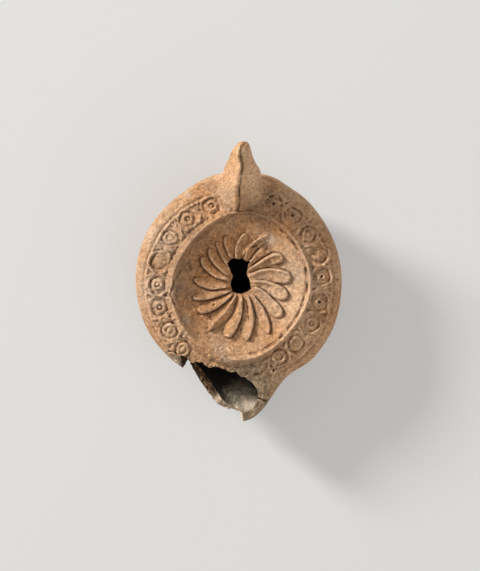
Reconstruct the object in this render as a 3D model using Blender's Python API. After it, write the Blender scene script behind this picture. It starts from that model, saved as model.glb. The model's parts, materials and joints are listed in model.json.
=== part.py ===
"""A Roman oil lamp of fired clay, pressed in a two-part mould, with a rosette on its discus and a broken nozzle.

The lamp is one hollow piece. The origin is at the centre of the flat base, +Y points to the handle, the nozzle
lies towards -Y and +Z is up. Blender's unit is the metre, so each length is written in millimetres times MM.
"""

import math

import bmesh
import bpy
import numpy as np
from mathutils import Vector
from mathutils.geometry import delaunay_2d_cdt

MM = 0.001

# Body
BODY_RADIUS = 39.0 * MM  # plan radius at the seam
LOWER_FULLNESS = 0.8 * MM  # how far the plan swells towards the nozzle and shrinks towards the handle
RIGHT_FULLNESS = 0.4 * MM  # how much fuller the right side of the nozzle half is than the left
SEAM_HEIGHT = 15.0 * MM  # the widest level, where the two mould halves met
FOOT_RADIUS = 19.0 * MM
FOOT_HEIGHT = 1.2 * MM
BOWL_ROUNDNESS = 1.7  # power of the lower half's curve: 1 is a straight cone
KEEL_ROUNDNESS = 1.1  # the same under the nozzle

# Shoulder
LINE_X = 0.1 * MM  # centre of the raised line and the groove inside the smooth outer band
LINE_Y = -3.0 * MM
LINE_RADIUS = 35.0 * MM
LINE_HEIGHT = 0.4 * MM
LINE_HALF_WIDTH = 0.6 * MM
GROOVE_RADIUS = 35.9 * MM
GROOVE_DEPTH = 0.45 * MM
BAND_HEIGHT = 22.2 * MM  # the outer band's inner edge
BAND_DROP = 2.2 * MM  # how far it rounds over before it turns down
BAND_ROUNDNESS = 2.0
EDGE_INSET = 1.0 * MM  # where it turns down
EDGE_CLEARANCE = 0.2 * MM  # between the carving and that edge
SHOULDER_HEIGHT = 25.2 * MM  # the shoulder's inner edge

# Discus, the sunk round centre, and the ridge round it
DISCUS_X = 0.8 * MM
DISCUS_Y = -3.0 * MM
RIDGE_RADIUS = 26.4 * MM
RIDGE_OVAL = 1.2 * MM
RIDGE_OVAL_ANGLE = math.radians(68)
RIDGE_SQUARENESS = 0.5 * MM
RIDGE_HEIGHT = 0.9 * MM
RIDGE_HALF_WIDTH = 1.1 * MM
DISCUS_DEPTH = 5.6 * MM
DISCUS_ROUNDNESS = 3.2  # power of its curve: higher is flatter in the middle

# Rosette
ROSETTE_X = 0.4 * MM
ROSETTE_Y = -2.3 * MM
PETALS = 18
PETAL_REACH = 19.2 * MM
PETAL_START = 4.6 * MM
PETAL_HALF_WIDTH = 2.7 * MM
PETAL_TIP_LENGTH = 3.4 * MM
PETAL_TURN = math.radians(17)  # how far a petal turns between the centre and its tip
PETAL_FIRST_ANGLE = math.radians(7)
PETAL_RIM_HEIGHT = 0.95 * MM
PETAL_FLOOR_HEIGHT = 0.35 * MM
PETAL_RIM_WIDTH = 0.5 * MM

# Ring ornaments on the shoulder
ORNAMENT_DISTANCE = 31.3 * MM  # from the discus's centre
LEFT_ORNAMENTS = 8
RIGHT_ORNAMENTS = 9
ORNAMENT_FIRST_ANGLE = math.radians(20.5)  # either side of the handle
ORNAMENT_STEP = math.radians(16.5)
ORNAMENT_RADIUS = 3.2 * MM
ORNAMENT_INNER_RADIUS = 1.45 * MM
ORNAMENT_HEIGHT = 0.6 * MM
ORNAMENT_LINE_WIDTH = 0.6 * MM
WEDGE_LENGTH = 2.6 * MM
WEDGE_HALF_WIDTH = 1.2 * MM

# Handle, an upright unpierced fin
HANDLE_FRONT = 25.4 * MM  # along Y
HANDLE_BACK = 50.8 * MM
HANDLE_TOP = 44.0 * MM  # above the base
HANDLE_WIDTH = 4.7 * MM  # from the crest to either side
HANDLE_EDGE_DEPTH = 4.5 * MM  # how far below the crest its sides reach two thirds of that
HANDLE_LEFT_FLARE = 1.6 * MM  # how much wider it grows where it meets the shoulder
HANDLE_RIGHT_FLARE = 4.0 * MM
HANDLE_FLARE_HEIGHT = 3.5 * MM

# Holes
FILLING_RADIUS = 3.8 * MM
FILLING_X = 0.8 * MM
FILLING_Y = -2.2 * MM
FILLING_BREAK_WIDTH = 7.4 * MM  # the torn enlargement behind the filling hole
FILLING_BREAK_REACH = 9.8 * MM
WICK_RADIUS = 6.4 * MM
WICK_X = 0.9 * MM
WICK_PAST_BODY = 5.2 * MM  # its centre beyond the body's circle
NOZZLE_RIM = 3.9 * MM  # in front of the wick hole
NOZZLE_CHEEK = 5.6 * MM  # beside it

# Walls
TOP_WALL = 3.0 * MM
SIDE_WALL = 3.0 * MM
FLOOR_WALL = 3.4 * MM

# The break that took the left half of the nozzle's top
BREAK_START_ANGLE = math.radians(227.5)  # where it meets the outline, counter-clockwise from +X
BREAK_END_ANGLE = math.radians(79)  # where it meets the wick hole
BREAK_TIP_ANGLE = math.radians(-80)  # where it leaves the wick hole again, through the nozzle's tip
BREAK_LEDGE = 13.0 * MM  # how high the wall still stands along the break

# Fineness of the faceted surfaces
AROUND = 96
CAVITY_AROUND = 60

CLAY_COLOUR = (0.52, 0.27, 0.14, 1.0)

WICK_Y = -(BODY_RADIUS + WICK_PAST_BODY)
NOZZLE_REACH = -WICK_Y + WICK_RADIUS + NOZZLE_RIM
NOZZLE_ANGLE = math.atan2(WICK_Y, WICK_X)
FULL_TURN = 2 * math.pi


def turned(angle, towards):
    """The angle between two directions, from -pi to pi."""
    return np.arctan2(np.sin(angle - towards), np.cos(angle - towards))


def nozzle_share(angle):
    """1 in the nozzle's direction, falling to 0 beside it, so that the cheeks clear the wick hole."""
    neck = BODY_RADIUS + LOWER_FULLNESS
    half_width = WICK_RADIUS + NOZZLE_CHEEK
    cheek = (math.hypot(half_width, WICK_Y) - neck) / (NOZZLE_REACH - neck)
    spread = math.atan2(half_width, -WICK_Y) / math.sqrt(-math.log(cheek))
    return np.exp(-((turned(angle, NOZZLE_ANGLE) / spread) ** 2))


def outline_radius(angle):
    """Plan radius about the body's centre: a hand-pressed circle drawn out into the nozzle."""
    swell = LOWER_FULLNESS + RIGHT_FULLNESS * np.cos(angle) * (1 - np.sin(angle))
    nozzle = (NOZZLE_REACH - BODY_RADIUS - LOWER_FULLNESS) * nozzle_share(angle)
    return BODY_RADIUS - swell * np.sin(angle) + nozzle


def lower_radius(angle, height):
    """Plan radius of the lower half at a height between the foot and the seam."""
    rise = (height - FOOT_HEIGHT) / (SEAM_HEIGHT - FOOT_HEIGHT)
    power = BOWL_ROUNDNESS + (KEEL_ROUNDNESS - BOWL_ROUNDNESS) * nozzle_share(angle)
    share = (1 - (1 - rise) ** power) ** (1 / power)
    return FOOT_RADIUS + (outline_radius(angle) - FOOT_RADIUS) * share


def ridge_radius(angle):
    """Plan radius of the ridge about the discus's centre: slightly oval and slightly square."""
    oval = RIDGE_OVAL * np.cos(2 * (angle - RIDGE_OVAL_ANGLE))
    return RIDGE_RADIUS + oval + RIDGE_SQUARENESS * np.cos(4 * angle)


def bump(distance, half_width):
    """1 on a line, falling to nothing past its half width."""
    return np.exp(-((distance / half_width) ** 2))


def share_between(passed, ahead):
    """How far along a way a point is, from what lies behind it and ahead of it: 0 before the way and 1 past it."""
    passed = np.maximum(passed, 0)
    return passed / (passed + np.maximum(ahead, 0) + 0.01 * MM)


def plain_height(x, y):
    """The top without its carving."""
    across = np.hypot(x - DISCUS_X, y - DISCUS_Y)
    ridge = ridge_radius(np.arctan2(y - DISCUS_Y, x - DISCUS_X))
    inset = outline_radius(np.arctan2(y, x)) - np.hypot(x, y)
    bowl = DISCUS_DEPTH * (1 - np.minimum(across / ridge, 1) ** DISCUS_ROUNDNESS)
    to_line = LINE_RADIUS - np.hypot(x - LINE_X, y - LINE_Y)
    slope = share_between(across - ridge, to_line)
    turn = share_between(-to_line, inset - EDGE_INSET)
    shoulder = SHOULDER_HEIGHT - (SHOULDER_HEIGHT - BAND_HEIGHT) * slope
    return shoulder - bowl - BAND_DROP * turn**BAND_ROUNDNESS


def petal_edge_distance(radius, angle, middle):
    """Signed distance in plan from a petal's edge, negative inside, for a petal whose tip lies at an angle."""
    turned_middle = middle + PETAL_TURN * (1 - radius / PETAL_REACH)
    across = radius * turned(angle, turned_middle)
    half_width = np.minimum(radius * math.pi / PETALS, PETAL_HALF_WIDTH)
    past = (radius - PETAL_REACH + PETAL_TIP_LENGTH) / PETAL_TIP_LENGTH
    tip = (np.hypot(across / PETAL_HALF_WIDTH, past) - 1) * PETAL_HALF_WIDTH
    return np.where(past > 0, tip, np.abs(across) - half_width)


def petal_height(x, y):
    radius = np.hypot(x - ROSETTE_X, y - ROSETTE_Y)
    angle = np.arctan2(y - ROSETTE_Y, x - ROSETTE_X)
    height = np.zeros_like(radius)
    for petal in range(PETALS):
        edge = petal_edge_distance(radius, angle, petal_angle(petal))
        rim = PETAL_RIM_HEIGHT * bump(edge + PETAL_RIM_WIDTH, PETAL_RIM_WIDTH)
        inside = PETAL_FLOOR_HEIGHT * (edge < -PETAL_RIM_WIDTH)
        height = np.maximum(height, np.maximum(rim, inside))
    return height


def petal_angle(petal):
    return PETAL_FIRST_ANGLE + petal * FULL_TURN / PETALS


def ornament_angles():
    """Directions of the ring ornaments from the discus's centre, one list for each side of the handle."""
    steps = [ORNAMENT_FIRST_ANGLE + i * ORNAMENT_STEP for i in range(max(LEFT_ORNAMENTS, RIGHT_ORNAMENTS))]
    left = [math.pi / 2 + step for step in steps[:LEFT_ORNAMENTS]]
    right = [math.pi / 2 - step for step in steps[:RIGHT_ORNAMENTS]]
    return left, right


def on_shoulder(distance, angle):
    """Plan point at a distance from the discus's centre."""
    return DISCUS_X + distance * math.cos(angle), DISCUS_Y + distance * math.sin(angle)


def wedges():
    """(direction, side) of each wedge: they stand between ring ornaments, on the outer and the inner side."""
    found = []
    for angles in ornament_angles():
        middles = [(one + other) / 2 for one, other in zip(angles, angles[1:])]
        found += [(middle, side) for middle in middles for side in (1, -1)]
    return found


def wedge_points(angle, side):
    """The two corners of a wedge's base, its crest and its point, in plan."""
    base = ORNAMENT_DISTANCE + side * (ORNAMENT_RADIUS - ORNAMENT_LINE_WIDTH / 2)
    turn = WEDGE_HALF_WIDTH / base
    corners = [on_shoulder(base, angle - turn), on_shoulder(base, angle + turn)]
    crest = on_shoulder(base - side * WEDGE_LENGTH / 4, angle)
    return corners, crest, on_shoulder(base - side * WEDGE_LENGTH, angle)


def ornament_height(x, y):
    height = np.zeros_like(x)
    for angle in sum(ornament_angles(), []):
        centre_x, centre_y = on_shoulder(ORNAMENT_DISTANCE, angle)
        across = np.hypot(x - centre_x, y - centre_y)
        for radius in (ORNAMENT_RADIUS, ORNAMENT_INNER_RADIUS, 0):
            height = np.maximum(height, ORNAMENT_HEIGHT * bump(across - radius, ORNAMENT_LINE_WIDTH))
    for angle, side in wedges():
        _, crest, _ = wedge_points(angle, side)
        across = np.hypot(x - crest[0], y - crest[1])
        height = np.maximum(height, ORNAMENT_HEIGHT * bump(across, ORNAMENT_LINE_WIDTH))
    return height


def line_height(x, y):
    """The ridge round the discus, and the groove and raised line inside the outer band."""
    across = np.hypot(x - DISCUS_X, y - DISCUS_Y)
    ridge = ridge_radius(np.arctan2(y - DISCUS_Y, x - DISCUS_X))
    on_body = 1 - nozzle_share(np.arctan2(y, x))
    across_lines = np.hypot(x - LINE_X, y - LINE_Y)
    groove = GROOVE_DEPTH * bump(across_lines - GROOVE_RADIUS, LINE_HALF_WIDTH)
    line = LINE_HEIGHT * bump(across_lines - LINE_RADIUS, LINE_HALF_WIDTH)
    return RIDGE_HEIGHT * bump(across - ridge, RIDGE_HALF_WIDTH) + on_body * (line - groove)


def top_height(x, y):
    return plain_height(x, y) + line_height(x, y) + petal_height(x, y) + ornament_height(x, y)


class Plan:
    """Points and lines drawn in plan inside a closed border. Triangles then follow them."""

    def __init__(self, border):
        self.points = []
        self.lines = []
        self.draw(border, True)

    def draw(self, points, closed=False):
        first = len(self.points)
        self.points += [Vector((float(x), float(y))) for x, y in points]
        last = len(self.points) - 1
        self.lines += [(i, i + 1) for i in range(first, last)]
        if closed:
            self.lines.append((last, first))

    def triangles(self):
        """Plan points, and the triangles between them that lie inside the border."""
        inside_lines = 1
        found = delaunay_2d_cdt(self.points, self.lines, [], inside_lines, 0.001 * MM)
        return np.array([tuple(point) for point in found[0]]), found[2]


def circle(centre, radius, count):
    angles = [FULL_TURN * i / count for i in range(count)]
    return [(centre[0] + radius * math.cos(angle), centre[1] + radius * math.sin(angle)) for angle in angles]


def carve(plan, points, closed=False):
    """Draws a line of the carving, pulled in where it would run over the turned edge."""
    kept = []
    for x, y in points:
        reach = float(outline_radius(math.atan2(y, x))) - EDGE_INSET - EDGE_CLEARANCE
        inwards = min(reach / max(math.hypot(x, y), MM), 1)
        kept.append((x * inwards, y * inwards))
    plan.draw(kept, closed)


def outline_ring(inset, count=AROUND):
    """Plan points that lie inside the outline by a distance."""
    angles = FULL_TURN * np.arange(count) / count
    radii = outline_radius(angles) - inset
    return np.stack([radii * np.cos(angles), radii * np.sin(angles)], axis=1)


def discus_ring(offset, count):
    """Plan points at a distance from the ridge, positive outside it."""
    angles = FULL_TURN * np.arange(count) / count
    radii = ridge_radius(angles) + offset
    return np.stack([DISCUS_X + radii * np.cos(angles), DISCUS_Y + radii * np.sin(angles)], axis=1)


def on_petal(petal, radius, across):
    """Plan point beside a petal's curved middle line."""
    middle = petal_angle(petal) + PETAL_TURN * (1 - radius / PETAL_REACH)
    angle = middle + across / radius
    return ROSETTE_X + radius * math.cos(angle), ROSETTE_Y + radius * math.sin(angle)


def petal_outline(petal, margin, steps):
    """Plan points along a petal's edge, from its centre end round the tip and back."""
    shoulder = PETAL_REACH - PETAL_TIP_LENGTH
    stem = [PETAL_START + (shoulder - PETAL_START) * i / 3 for i in range(3)]
    widths = [min(radius * math.pi / PETALS, PETAL_HALF_WIDTH) + margin for radius in stem]
    side = list(zip(stem, widths))
    grown = (PETAL_HALF_WIDTH + margin) / PETAL_HALF_WIDTH
    bends = [math.pi * i / steps for i in range(steps + 1)]
    tip = [
        (shoulder + PETAL_TIP_LENGTH * grown * math.sin(bend), PETAL_HALF_WIDTH * grown * math.cos(bend))
        for bend in bends
    ]
    back = [(radius, -width) for radius, width in reversed(side)]
    return [on_petal(petal, radius, across) for radius, across in side + tip + back]


def draw_rosette(plan):
    stem = [PETAL_START + (PETAL_REACH - PETAL_START) * share for share in (0, 0.25, 0.5, 0.72)]
    for petal in range(PETALS):
        carve(plan, petal_outline(petal, -PETAL_RIM_WIDTH, 6))
        carve(plan, petal_outline(petal, PETAL_RIM_WIDTH, 6)[3:-3])
        carve(plan, [on_petal(petal, radius, 0) for radius in stem[1:]])
        carve(plan, [on_petal(petal, radius, radius * math.pi / PETALS) for radius in stem])


def draw_ornaments(plan):
    rings = (
        (ORNAMENT_RADIUS + ORNAMENT_LINE_WIDTH, 12),
        (ORNAMENT_RADIUS, 12),
        ((ORNAMENT_RADIUS + ORNAMENT_INNER_RADIUS) / 2, 10),
        (ORNAMENT_INNER_RADIUS, 8),
        (ORNAMENT_INNER_RADIUS / 2, 6),
    )
    for angle in sum(ornament_angles(), []):
        centre = on_shoulder(ORNAMENT_DISTANCE, angle)
        for radius, count in rings:
            carve(plan, circle(centre, radius, count), True)
        carve(plan, [centre])
    for angle, side in wedges():
        corners, crest, point = wedge_points(angle, side)
        carve(plan, [corners[0], corners[1], point], True)
        carve(plan, [crest])


def draw_lines(plan):
    for radius in (LINE_RADIUS - LINE_HALF_WIDTH, LINE_RADIUS, GROOVE_RADIUS):
        carve(plan, circle((LINE_X, LINE_Y), radius, AROUND), True)
    for offset in (RIDGE_HALF_WIDTH, 0, -RIDGE_HALF_WIDTH, -4 * RIDGE_HALF_WIDTH):
        carve(plan, discus_ring(offset, 72 if abs(offset) <= RIDGE_HALF_WIDTH else 48), True)
    carve(plan, circle((WICK_X, WICK_Y), WICK_RADIUS + NOZZLE_RIM / 2, 16), True)


def top_faces():
    """Points and triangles of the whole carved top, from its turned edge inwards."""
    plan = Plan(outline_ring(EDGE_INSET))
    draw_lines(plan)
    draw_rosette(plan)
    draw_ornaments(plan)
    points, faces = plan.triangles()
    return np.column_stack([points, top_height(points[:, 0], points[:, 1])]), faces


def new_object(name, mesh_maker, material=None):
    """A mesh object from closed faces, merged, facing outwards and shaded smooth between gentle facets."""
    work = bmesh.new()
    mesh_maker(work)
    bmesh.ops.remove_doubles(work, verts=work.verts, dist=2e-6)
    bmesh.ops.recalc_face_normals(work, faces=work.faces)
    mesh = bpy.data.meshes.new(name)
    work.to_mesh(mesh)
    work.free()
    mesh.shade_smooth()
    mesh.set_sharp_from_angle(angle=math.radians(40))
    if material:
        mesh.materials.append(material)
    made = bpy.data.objects.new(name, mesh)
    bpy.context.scene.collection.objects.link(made)
    return made


def add_rings(work, rings, cap_first, cap_last):
    """Quads between rings of equally many points, with flat caps where they are asked for."""
    rows = [[work.verts.new(point) for point in ring] for ring in rings]
    count = len(rows[0])
    for upper, lower in zip(rows, rows[1:]):
        for i in range(count):
            j = (i + 1) % count
            work.faces.new((upper[i], upper[j], lower[j], lower[i]))
    if cap_first:
        work.faces.new(rows[0])
    if cap_last:
        work.faces.new(rows[-1])


def lifted(ring, heights):
    return np.column_stack([ring, np.broadcast_to(heights, len(ring))]).tolist()


def polar(angles, radii):
    return np.stack([radii * np.cos(angles), radii * np.sin(angles)], axis=1)


def build_outside(work):
    """The carved top, the wall down to the seam, the lower half and the flat foot."""
    points, faces = top_faces()
    corners = [work.verts.new(point) for point in points]
    for face in faces:
        work.faces.new([corners[i] for i in face])
    edge = outline_ring(EDGE_INSET)
    edge_height = top_height(edge[:, 0], edge[:, 1])
    rings = [lifted(edge, edge_height)]
    for inset_share, height_share in ((0.3, 0.6), (0.05, 0.25), (0, 0)):
        heights = SEAM_HEIGHT + (edge_height - SEAM_HEIGHT) * height_share
        rings.append(lifted(outline_ring(EDGE_INSET * inset_share), heights))
    angles = FULL_TURN * np.arange(AROUND) / AROUND
    for share in (0.75, 0.5, 0.28, 0.12, 0):
        height = FOOT_HEIGHT + (SEAM_HEIGHT - FOOT_HEIGHT) * share
        rings.append(lifted(polar(angles, lower_radius(angles, height)), height))
    rings.append(lifted(polar(angles, np.full(AROUND, FOOT_RADIUS)), 0))
    add_rings(work, rings, cap_first=False, cap_last=True)


def build_cavity(work):
    """The hollow: under the top by its wall, inside the lower half by its wall."""
    angles = FULL_TURN * np.arange(CAVITY_AROUND) / CAVITY_AROUND
    rings = []
    for share in (0.2, 0.45, 0.62, 0.75, 0.88, 1):
        ring = polar(angles, (outline_radius(angles) - SIDE_WALL) * share)
        rings.append(lifted(ring, plain_height(ring[:, 0], ring[:, 1]) - TOP_WALL))
    for share in (1, 0.7, 0.4, 0.15, 0):
        height = FLOOR_WALL + (SEAM_HEIGHT - FLOOR_WALL) * share
        below = max(height - 0.6 * FLOOR_WALL, FOOT_HEIGHT)
        radii = lower_radius(angles, below) - 0.8 * SIDE_WALL
        rings.append(lifted(polar(angles, np.minimum(radii, outline_radius(angles) - SIDE_WALL)), height))
    add_rings(work, rings, cap_first=True, cap_last=True)


def handle_section(share, crest, bottom, width_share, flare_share):
    """Points round the handle at one share of its length: a crest, spreading sides and a round underside."""
    y = HANDLE_FRONT + (HANDLE_BACK - HANDLE_FRONT) * share
    left, right = [], []
    for depth in (0.0, 0.08, 0.2, 0.38, 0.58, 0.8, 0.94, 1.0):
        height = crest - (crest - bottom) * depth
        spread = HANDLE_WIDTH * width_share * (1 - math.exp(-(crest - height) / HANDLE_EDGE_DEPTH))
        flare = flare_share * math.exp(-max(height - BAND_HEIGHT, 0) / HANDLE_FLARE_HEIGHT)
        closing = math.sqrt(1 - ((depth - 0.58) / 0.42) ** 2) if 0.58 < depth < 1 else float(depth < 1)
        left.append((-(spread + HANDLE_LEFT_FLARE * flare) * closing, y, height))
        right.append(((spread + HANDLE_RIGHT_FLARE * flare) * closing, y, height))
    crest_point, bottom_point = (0, y, crest), (0, y, bottom)
    return [crest_point] + right[1:-1] + [bottom_point] + left[-2:0:-1]


def build_handle(work):
    """A lofted fin: it rises backwards from the ridge, and its back comes down to the seam behind the body."""
    rise = HANDLE_TOP - SHOULDER_HEIGHT
    drop = SHOULDER_HEIGHT - TOP_WALL - SEAM_HEIGHT
    stations = (
        # share of its length, crest above the shoulder, underside above the seam, width and flare, as shares
        (0.0, 0.1, 0.9, 0.75, 0.3),
        (0.1, 0.26, 0.7, 0.85, 0.6),
        (0.26, 0.5, 0.3, 0.95, 0.9),
        (0.44, 0.74, -0.1, 1.0, 1.0),
        (0.58, 0.9, 0.1, 1.04, 0.9),
        (0.68, 0.97, 0.5, 1.02, 0.35),
        (0.78, 1.0, 1.1, 0.98, 0.0),
        (0.87, 0.98, 1.7, 0.9, 0.0),
        (0.94, 0.92, 2.2, 0.78, 0.0),
        (0.98, 0.84, 2.6, 0.64, 0.0),
        (1.0, 0.74, 2.9, 0.4, 0.0),
    )
    rings = [
        handle_section(share, SHOULDER_HEIGHT + rise * crest, SEAM_HEIGHT + drop * under, width, flare)
        for share, crest, under, width, flare in stations
    ]
    add_rings(work, rings, cap_first=True, cap_last=True)


def prism(outline, low, high):
    """Maker of an upright prism between two heights."""

    def build(work):
        rings = [[(x, y, high) for x, y in outline], [(x, y, low) for x, y in outline]]
        add_rings(work, rings, cap_first=True, cap_last=True)

    return build


def filling_outline():
    """A round hole whose far side is torn open: shares of the tear's half width and reach follow the arc."""
    start, stop = math.radians(150), math.radians(390)
    arc = [start + (stop - start) * i / 16 for i in range(17)]
    lobe = [(FILLING_X + FILLING_RADIUS * math.cos(a), FILLING_Y + FILLING_RADIUS * math.sin(a)) for a in arc]
    torn = (
        (0.66, 0.45), (0.75, 0.66), (0.95, 0.8), (0.88, 0.94), (0.55, 0.9), (0.35, 0.97), (0.0, 1.0), (-0.15, 0.92),
        (-0.5, 0.99), (-0.8, 0.96), (-1.05, 0.78), (-0.9, 0.6), (-0.7, 0.45),
    )
    tear = [(FILLING_X + FILLING_BREAK_WIDTH / 2 * u, FILLING_Y + FILLING_BREAK_REACH * v) for u, v in torn]
    return lobe + tear


def break_edge():
    """The ragged edge of the top, from the outline to the wick hole: shares along a straight line, and jags off it."""
    start_radius = float(outline_radius(BREAK_START_ANGLE)) + EDGE_INSET
    start = np.array([start_radius * math.cos(BREAK_START_ANGLE), start_radius * math.sin(BREAK_START_ANGLE)])
    end = np.array([
        WICK_X + WICK_RADIUS * math.cos(BREAK_END_ANGLE),
        WICK_Y + WICK_RADIUS * math.sin(BREAK_END_ANGLE),
    ])
    along = end - start
    outward = np.array([along[1], -along[0]]) / np.linalg.norm(along)
    jags = (
        (0.0, 0.0), (0.15, -0.3), (0.2, -0.9), (0.28, 0.3), (0.35, 0.9), (0.4, -0.1), (0.47, -0.5), (0.55, 0.5),
        (0.62, -0.2), (0.7, -0.9), (0.78, -0.5), (0.86, 0.1), (0.92, -1.0), (1.0, 0.0),
    )
    return [start + along * share + outward * jag * MM for share, jag in jags]


def ledge_height(share):
    """Height at which the wall still stands below the missing top, by the share of the way to the nozzle's tip."""
    shares = (0.0, 0.14, 0.2, 0.24, 0.3, 0.6, 0.86, 0.95, 1.0)
    heights = (1.5, 1.35, 1.2, 0.75, 0.92, 1.03, 0.97, 1.05, 1.75)
    return BREAK_LEDGE * np.interp(share, shares, heights)


def build_break(work):
    """The missing piece: all that lay outside the ragged edge, down to the uneven ledge of the wall."""
    edge = [tuple(point) for point in break_edge()]
    tip_direction = np.array([math.cos(BREAK_TIP_ANGLE), math.sin(BREAK_TIP_ANGLE)])
    centre = np.array([WICK_X, WICK_Y])
    tip = centre + tip_direction * WICK_RADIUS
    past_tip = centre + tip_direction * (WICK_RADIUS + 2 * NOZZLE_RIM)
    far = 2 * NOZZLE_REACH
    outside = [tuple(past_tip), (float(past_tip[0]), -far), (-far, -far), (-far, edge[0][1])]
    plan = Plan(edge + [tuple(centre), tuple(tip)] + outside)
    rows = np.linspace(edge[0][0], float(past_tip[0]), 14)[1:-1]
    for x in rows:
        drops = np.linspace(-NOZZLE_REACH, edge[0][1] - SIDE_WALL, 6)
        for y in drops:
            plan.draw([(x, y)])
    points, faces = plan.triangles()
    share = (points[:, 0] - edge[0][0]) / (past_tip[0] - edge[0][0])
    heights = ledge_height(share)
    lower = [work.verts.new((x, y, z)) for (x, y), z in zip(points, heights)]
    upper = [work.verts.new((x, y, HANDLE_TOP)) for x, y in points]
    sides = {}
    for face in faces:
        work.faces.new([lower[i] for i in face])
        work.faces.new([upper[i] for i in reversed(face)])
        for i, j in zip(face, face[1:] + face[:1]):
            sides[(i, j)] = sides.get((j, i), 0) + 1
    for i, j in sides:
        if (j, i) not in sides:
            work.faces.new((lower[j], lower[i], upper[i], upper[j]))


def combine(body, other, operation):
    """Joins a shape to the body or cuts it away, and keeps that shape as a hidden helper."""
    other.display_type = "WIRE"
    other.hide_render = True
    modifier = body.modifiers.new(f"{operation.title()} {other.name}", "BOOLEAN")
    modifier.operation = operation
    modifier.object = other
    modifier.solver = "EXACT"


def clay():
    material = bpy.data.materials.new("terracotta")
    material.use_nodes = True
    shader = material.node_tree.nodes["Principled BSDF"]
    shader.inputs["Base Color"].default_value = CLAY_COLOUR
    shader.inputs["Roughness"].default_value = 0.85
    shader.inputs["Metallic"].default_value = 0.0
    material.diffuse_color = CLAY_COLOUR
    return material


def main():
    for old in list(bpy.data.objects):
        bpy.data.objects.remove(old, do_unlink=True)
    lamp = new_object("lamp_body", build_outside, clay())
    discus_bottom = SHOULDER_HEIGHT - DISCUS_DEPTH - TOP_WALL
    filling = prism(filling_outline(), discus_bottom - TOP_WALL, HANDLE_TOP)
    nozzle_bottom = BAND_HEIGHT - BAND_DROP - TOP_WALL
    wick = prism(circle((WICK_X, WICK_Y), WICK_RADIUS, 32), nozzle_bottom, HANDLE_TOP)
    combine(lamp, new_object("handle_fin", build_handle), "UNION")
    combine(lamp, new_object("cavity_cutter", build_cavity), "DIFFERENCE")
    combine(lamp, new_object("filling_hole_cutter", filling), "DIFFERENCE")
    combine(lamp, new_object("wick_hole_cutter", wick), "DIFFERENCE")
    combine(lamp, new_object("break_cutter", build_break), "DIFFERENCE")


main()
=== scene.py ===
# %% [markdown]
# # A Roman oil lamp
#
# A small lamp of fired clay. A potter pressed it in a mould of two halves and joined them at the widest
# level. Its sunk discus carries a rosette, its shoulder a row of ring ornaments between two raised
# lines. A fin pinched out of the clay is the handle. The left half of the nozzle's top is broken away.
# In this lesson the lamp is turned, pressed, carved, cut and broken in the order a potter and time did
# it.

# %% Load the frame that the solid model gives
import json
import math

import bpy
import numpy as np
from mathutils.kdtree import KDTree
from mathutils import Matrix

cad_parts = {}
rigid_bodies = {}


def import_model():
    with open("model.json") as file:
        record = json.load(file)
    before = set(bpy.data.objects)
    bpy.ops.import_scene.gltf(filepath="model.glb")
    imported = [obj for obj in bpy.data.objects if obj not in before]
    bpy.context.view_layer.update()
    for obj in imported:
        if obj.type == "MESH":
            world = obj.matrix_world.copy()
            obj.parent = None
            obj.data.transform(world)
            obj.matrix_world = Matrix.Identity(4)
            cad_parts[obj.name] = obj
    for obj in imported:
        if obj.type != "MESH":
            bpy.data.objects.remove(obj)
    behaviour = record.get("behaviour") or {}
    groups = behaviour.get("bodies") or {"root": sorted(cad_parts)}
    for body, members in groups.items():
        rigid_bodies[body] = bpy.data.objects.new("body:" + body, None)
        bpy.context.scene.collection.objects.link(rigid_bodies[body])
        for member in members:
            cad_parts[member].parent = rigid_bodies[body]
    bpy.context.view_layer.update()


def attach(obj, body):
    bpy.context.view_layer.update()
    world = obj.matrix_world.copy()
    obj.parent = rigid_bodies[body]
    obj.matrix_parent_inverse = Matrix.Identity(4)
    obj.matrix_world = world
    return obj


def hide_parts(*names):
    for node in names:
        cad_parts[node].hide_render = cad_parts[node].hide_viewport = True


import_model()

# %% [markdown]
# ## Units and small helpers
#
# Blender's unit is the metre, and the lamp is small, so every length here is written in millimetres. A
# helper reads a mesh's points in millimetres, and another writes them back in metres. An operator acts
# on all that is selected, so each step starts by selecting one object alone.

# %% Units and helpers
MM = 0.001
FULL_TURN = 2 * math.pi


def take_up(piece):
    """Selects one object alone, as every operator after it expects."""
    if bpy.context.mode != "OBJECT":
        bpy.ops.object.mode_set(mode="OBJECT")
    bpy.ops.object.select_all(action="DESELECT")
    piece.select_set(True)
    bpy.context.view_layer.objects.active = piece


def points_of(piece):
    """The mesh's points in millimetres."""
    points = np.empty(len(piece.data.vertices) * 3)
    piece.data.vertices.foreach_get("co", points)
    return points.reshape(-1, 3) / MM


def place_points(piece, points):
    piece.data.vertices.foreach_set("co", (np.asarray(points) * MM).ravel())
    piece.data.update()


def close_up(piece, within=0.001):
    """Merges points that coincide and turns every face outwards."""
    take_up(piece)
    bpy.ops.object.mode_set(mode="EDIT")
    bpy.ops.mesh.select_all(action="SELECT")
    bpy.ops.mesh.remove_doubles(threshold=within * MM)
    bpy.ops.mesh.normals_make_consistent(inside=False)
    bpy.ops.object.mode_set(mode="OBJECT")


def select_points(piece, chosen):
    """Enters edit mode with only the chosen points selected."""
    take_up(piece)
    bpy.ops.object.mode_set(mode="EDIT")
    bpy.ops.mesh.select_mode(type="VERT")
    bpy.ops.mesh.select_all(action="DESELECT")
    bpy.ops.object.mode_set(mode="OBJECT")
    piece.data.vertices.foreach_set("select", chosen)
    bpy.ops.object.mode_set(mode="EDIT")


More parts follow.
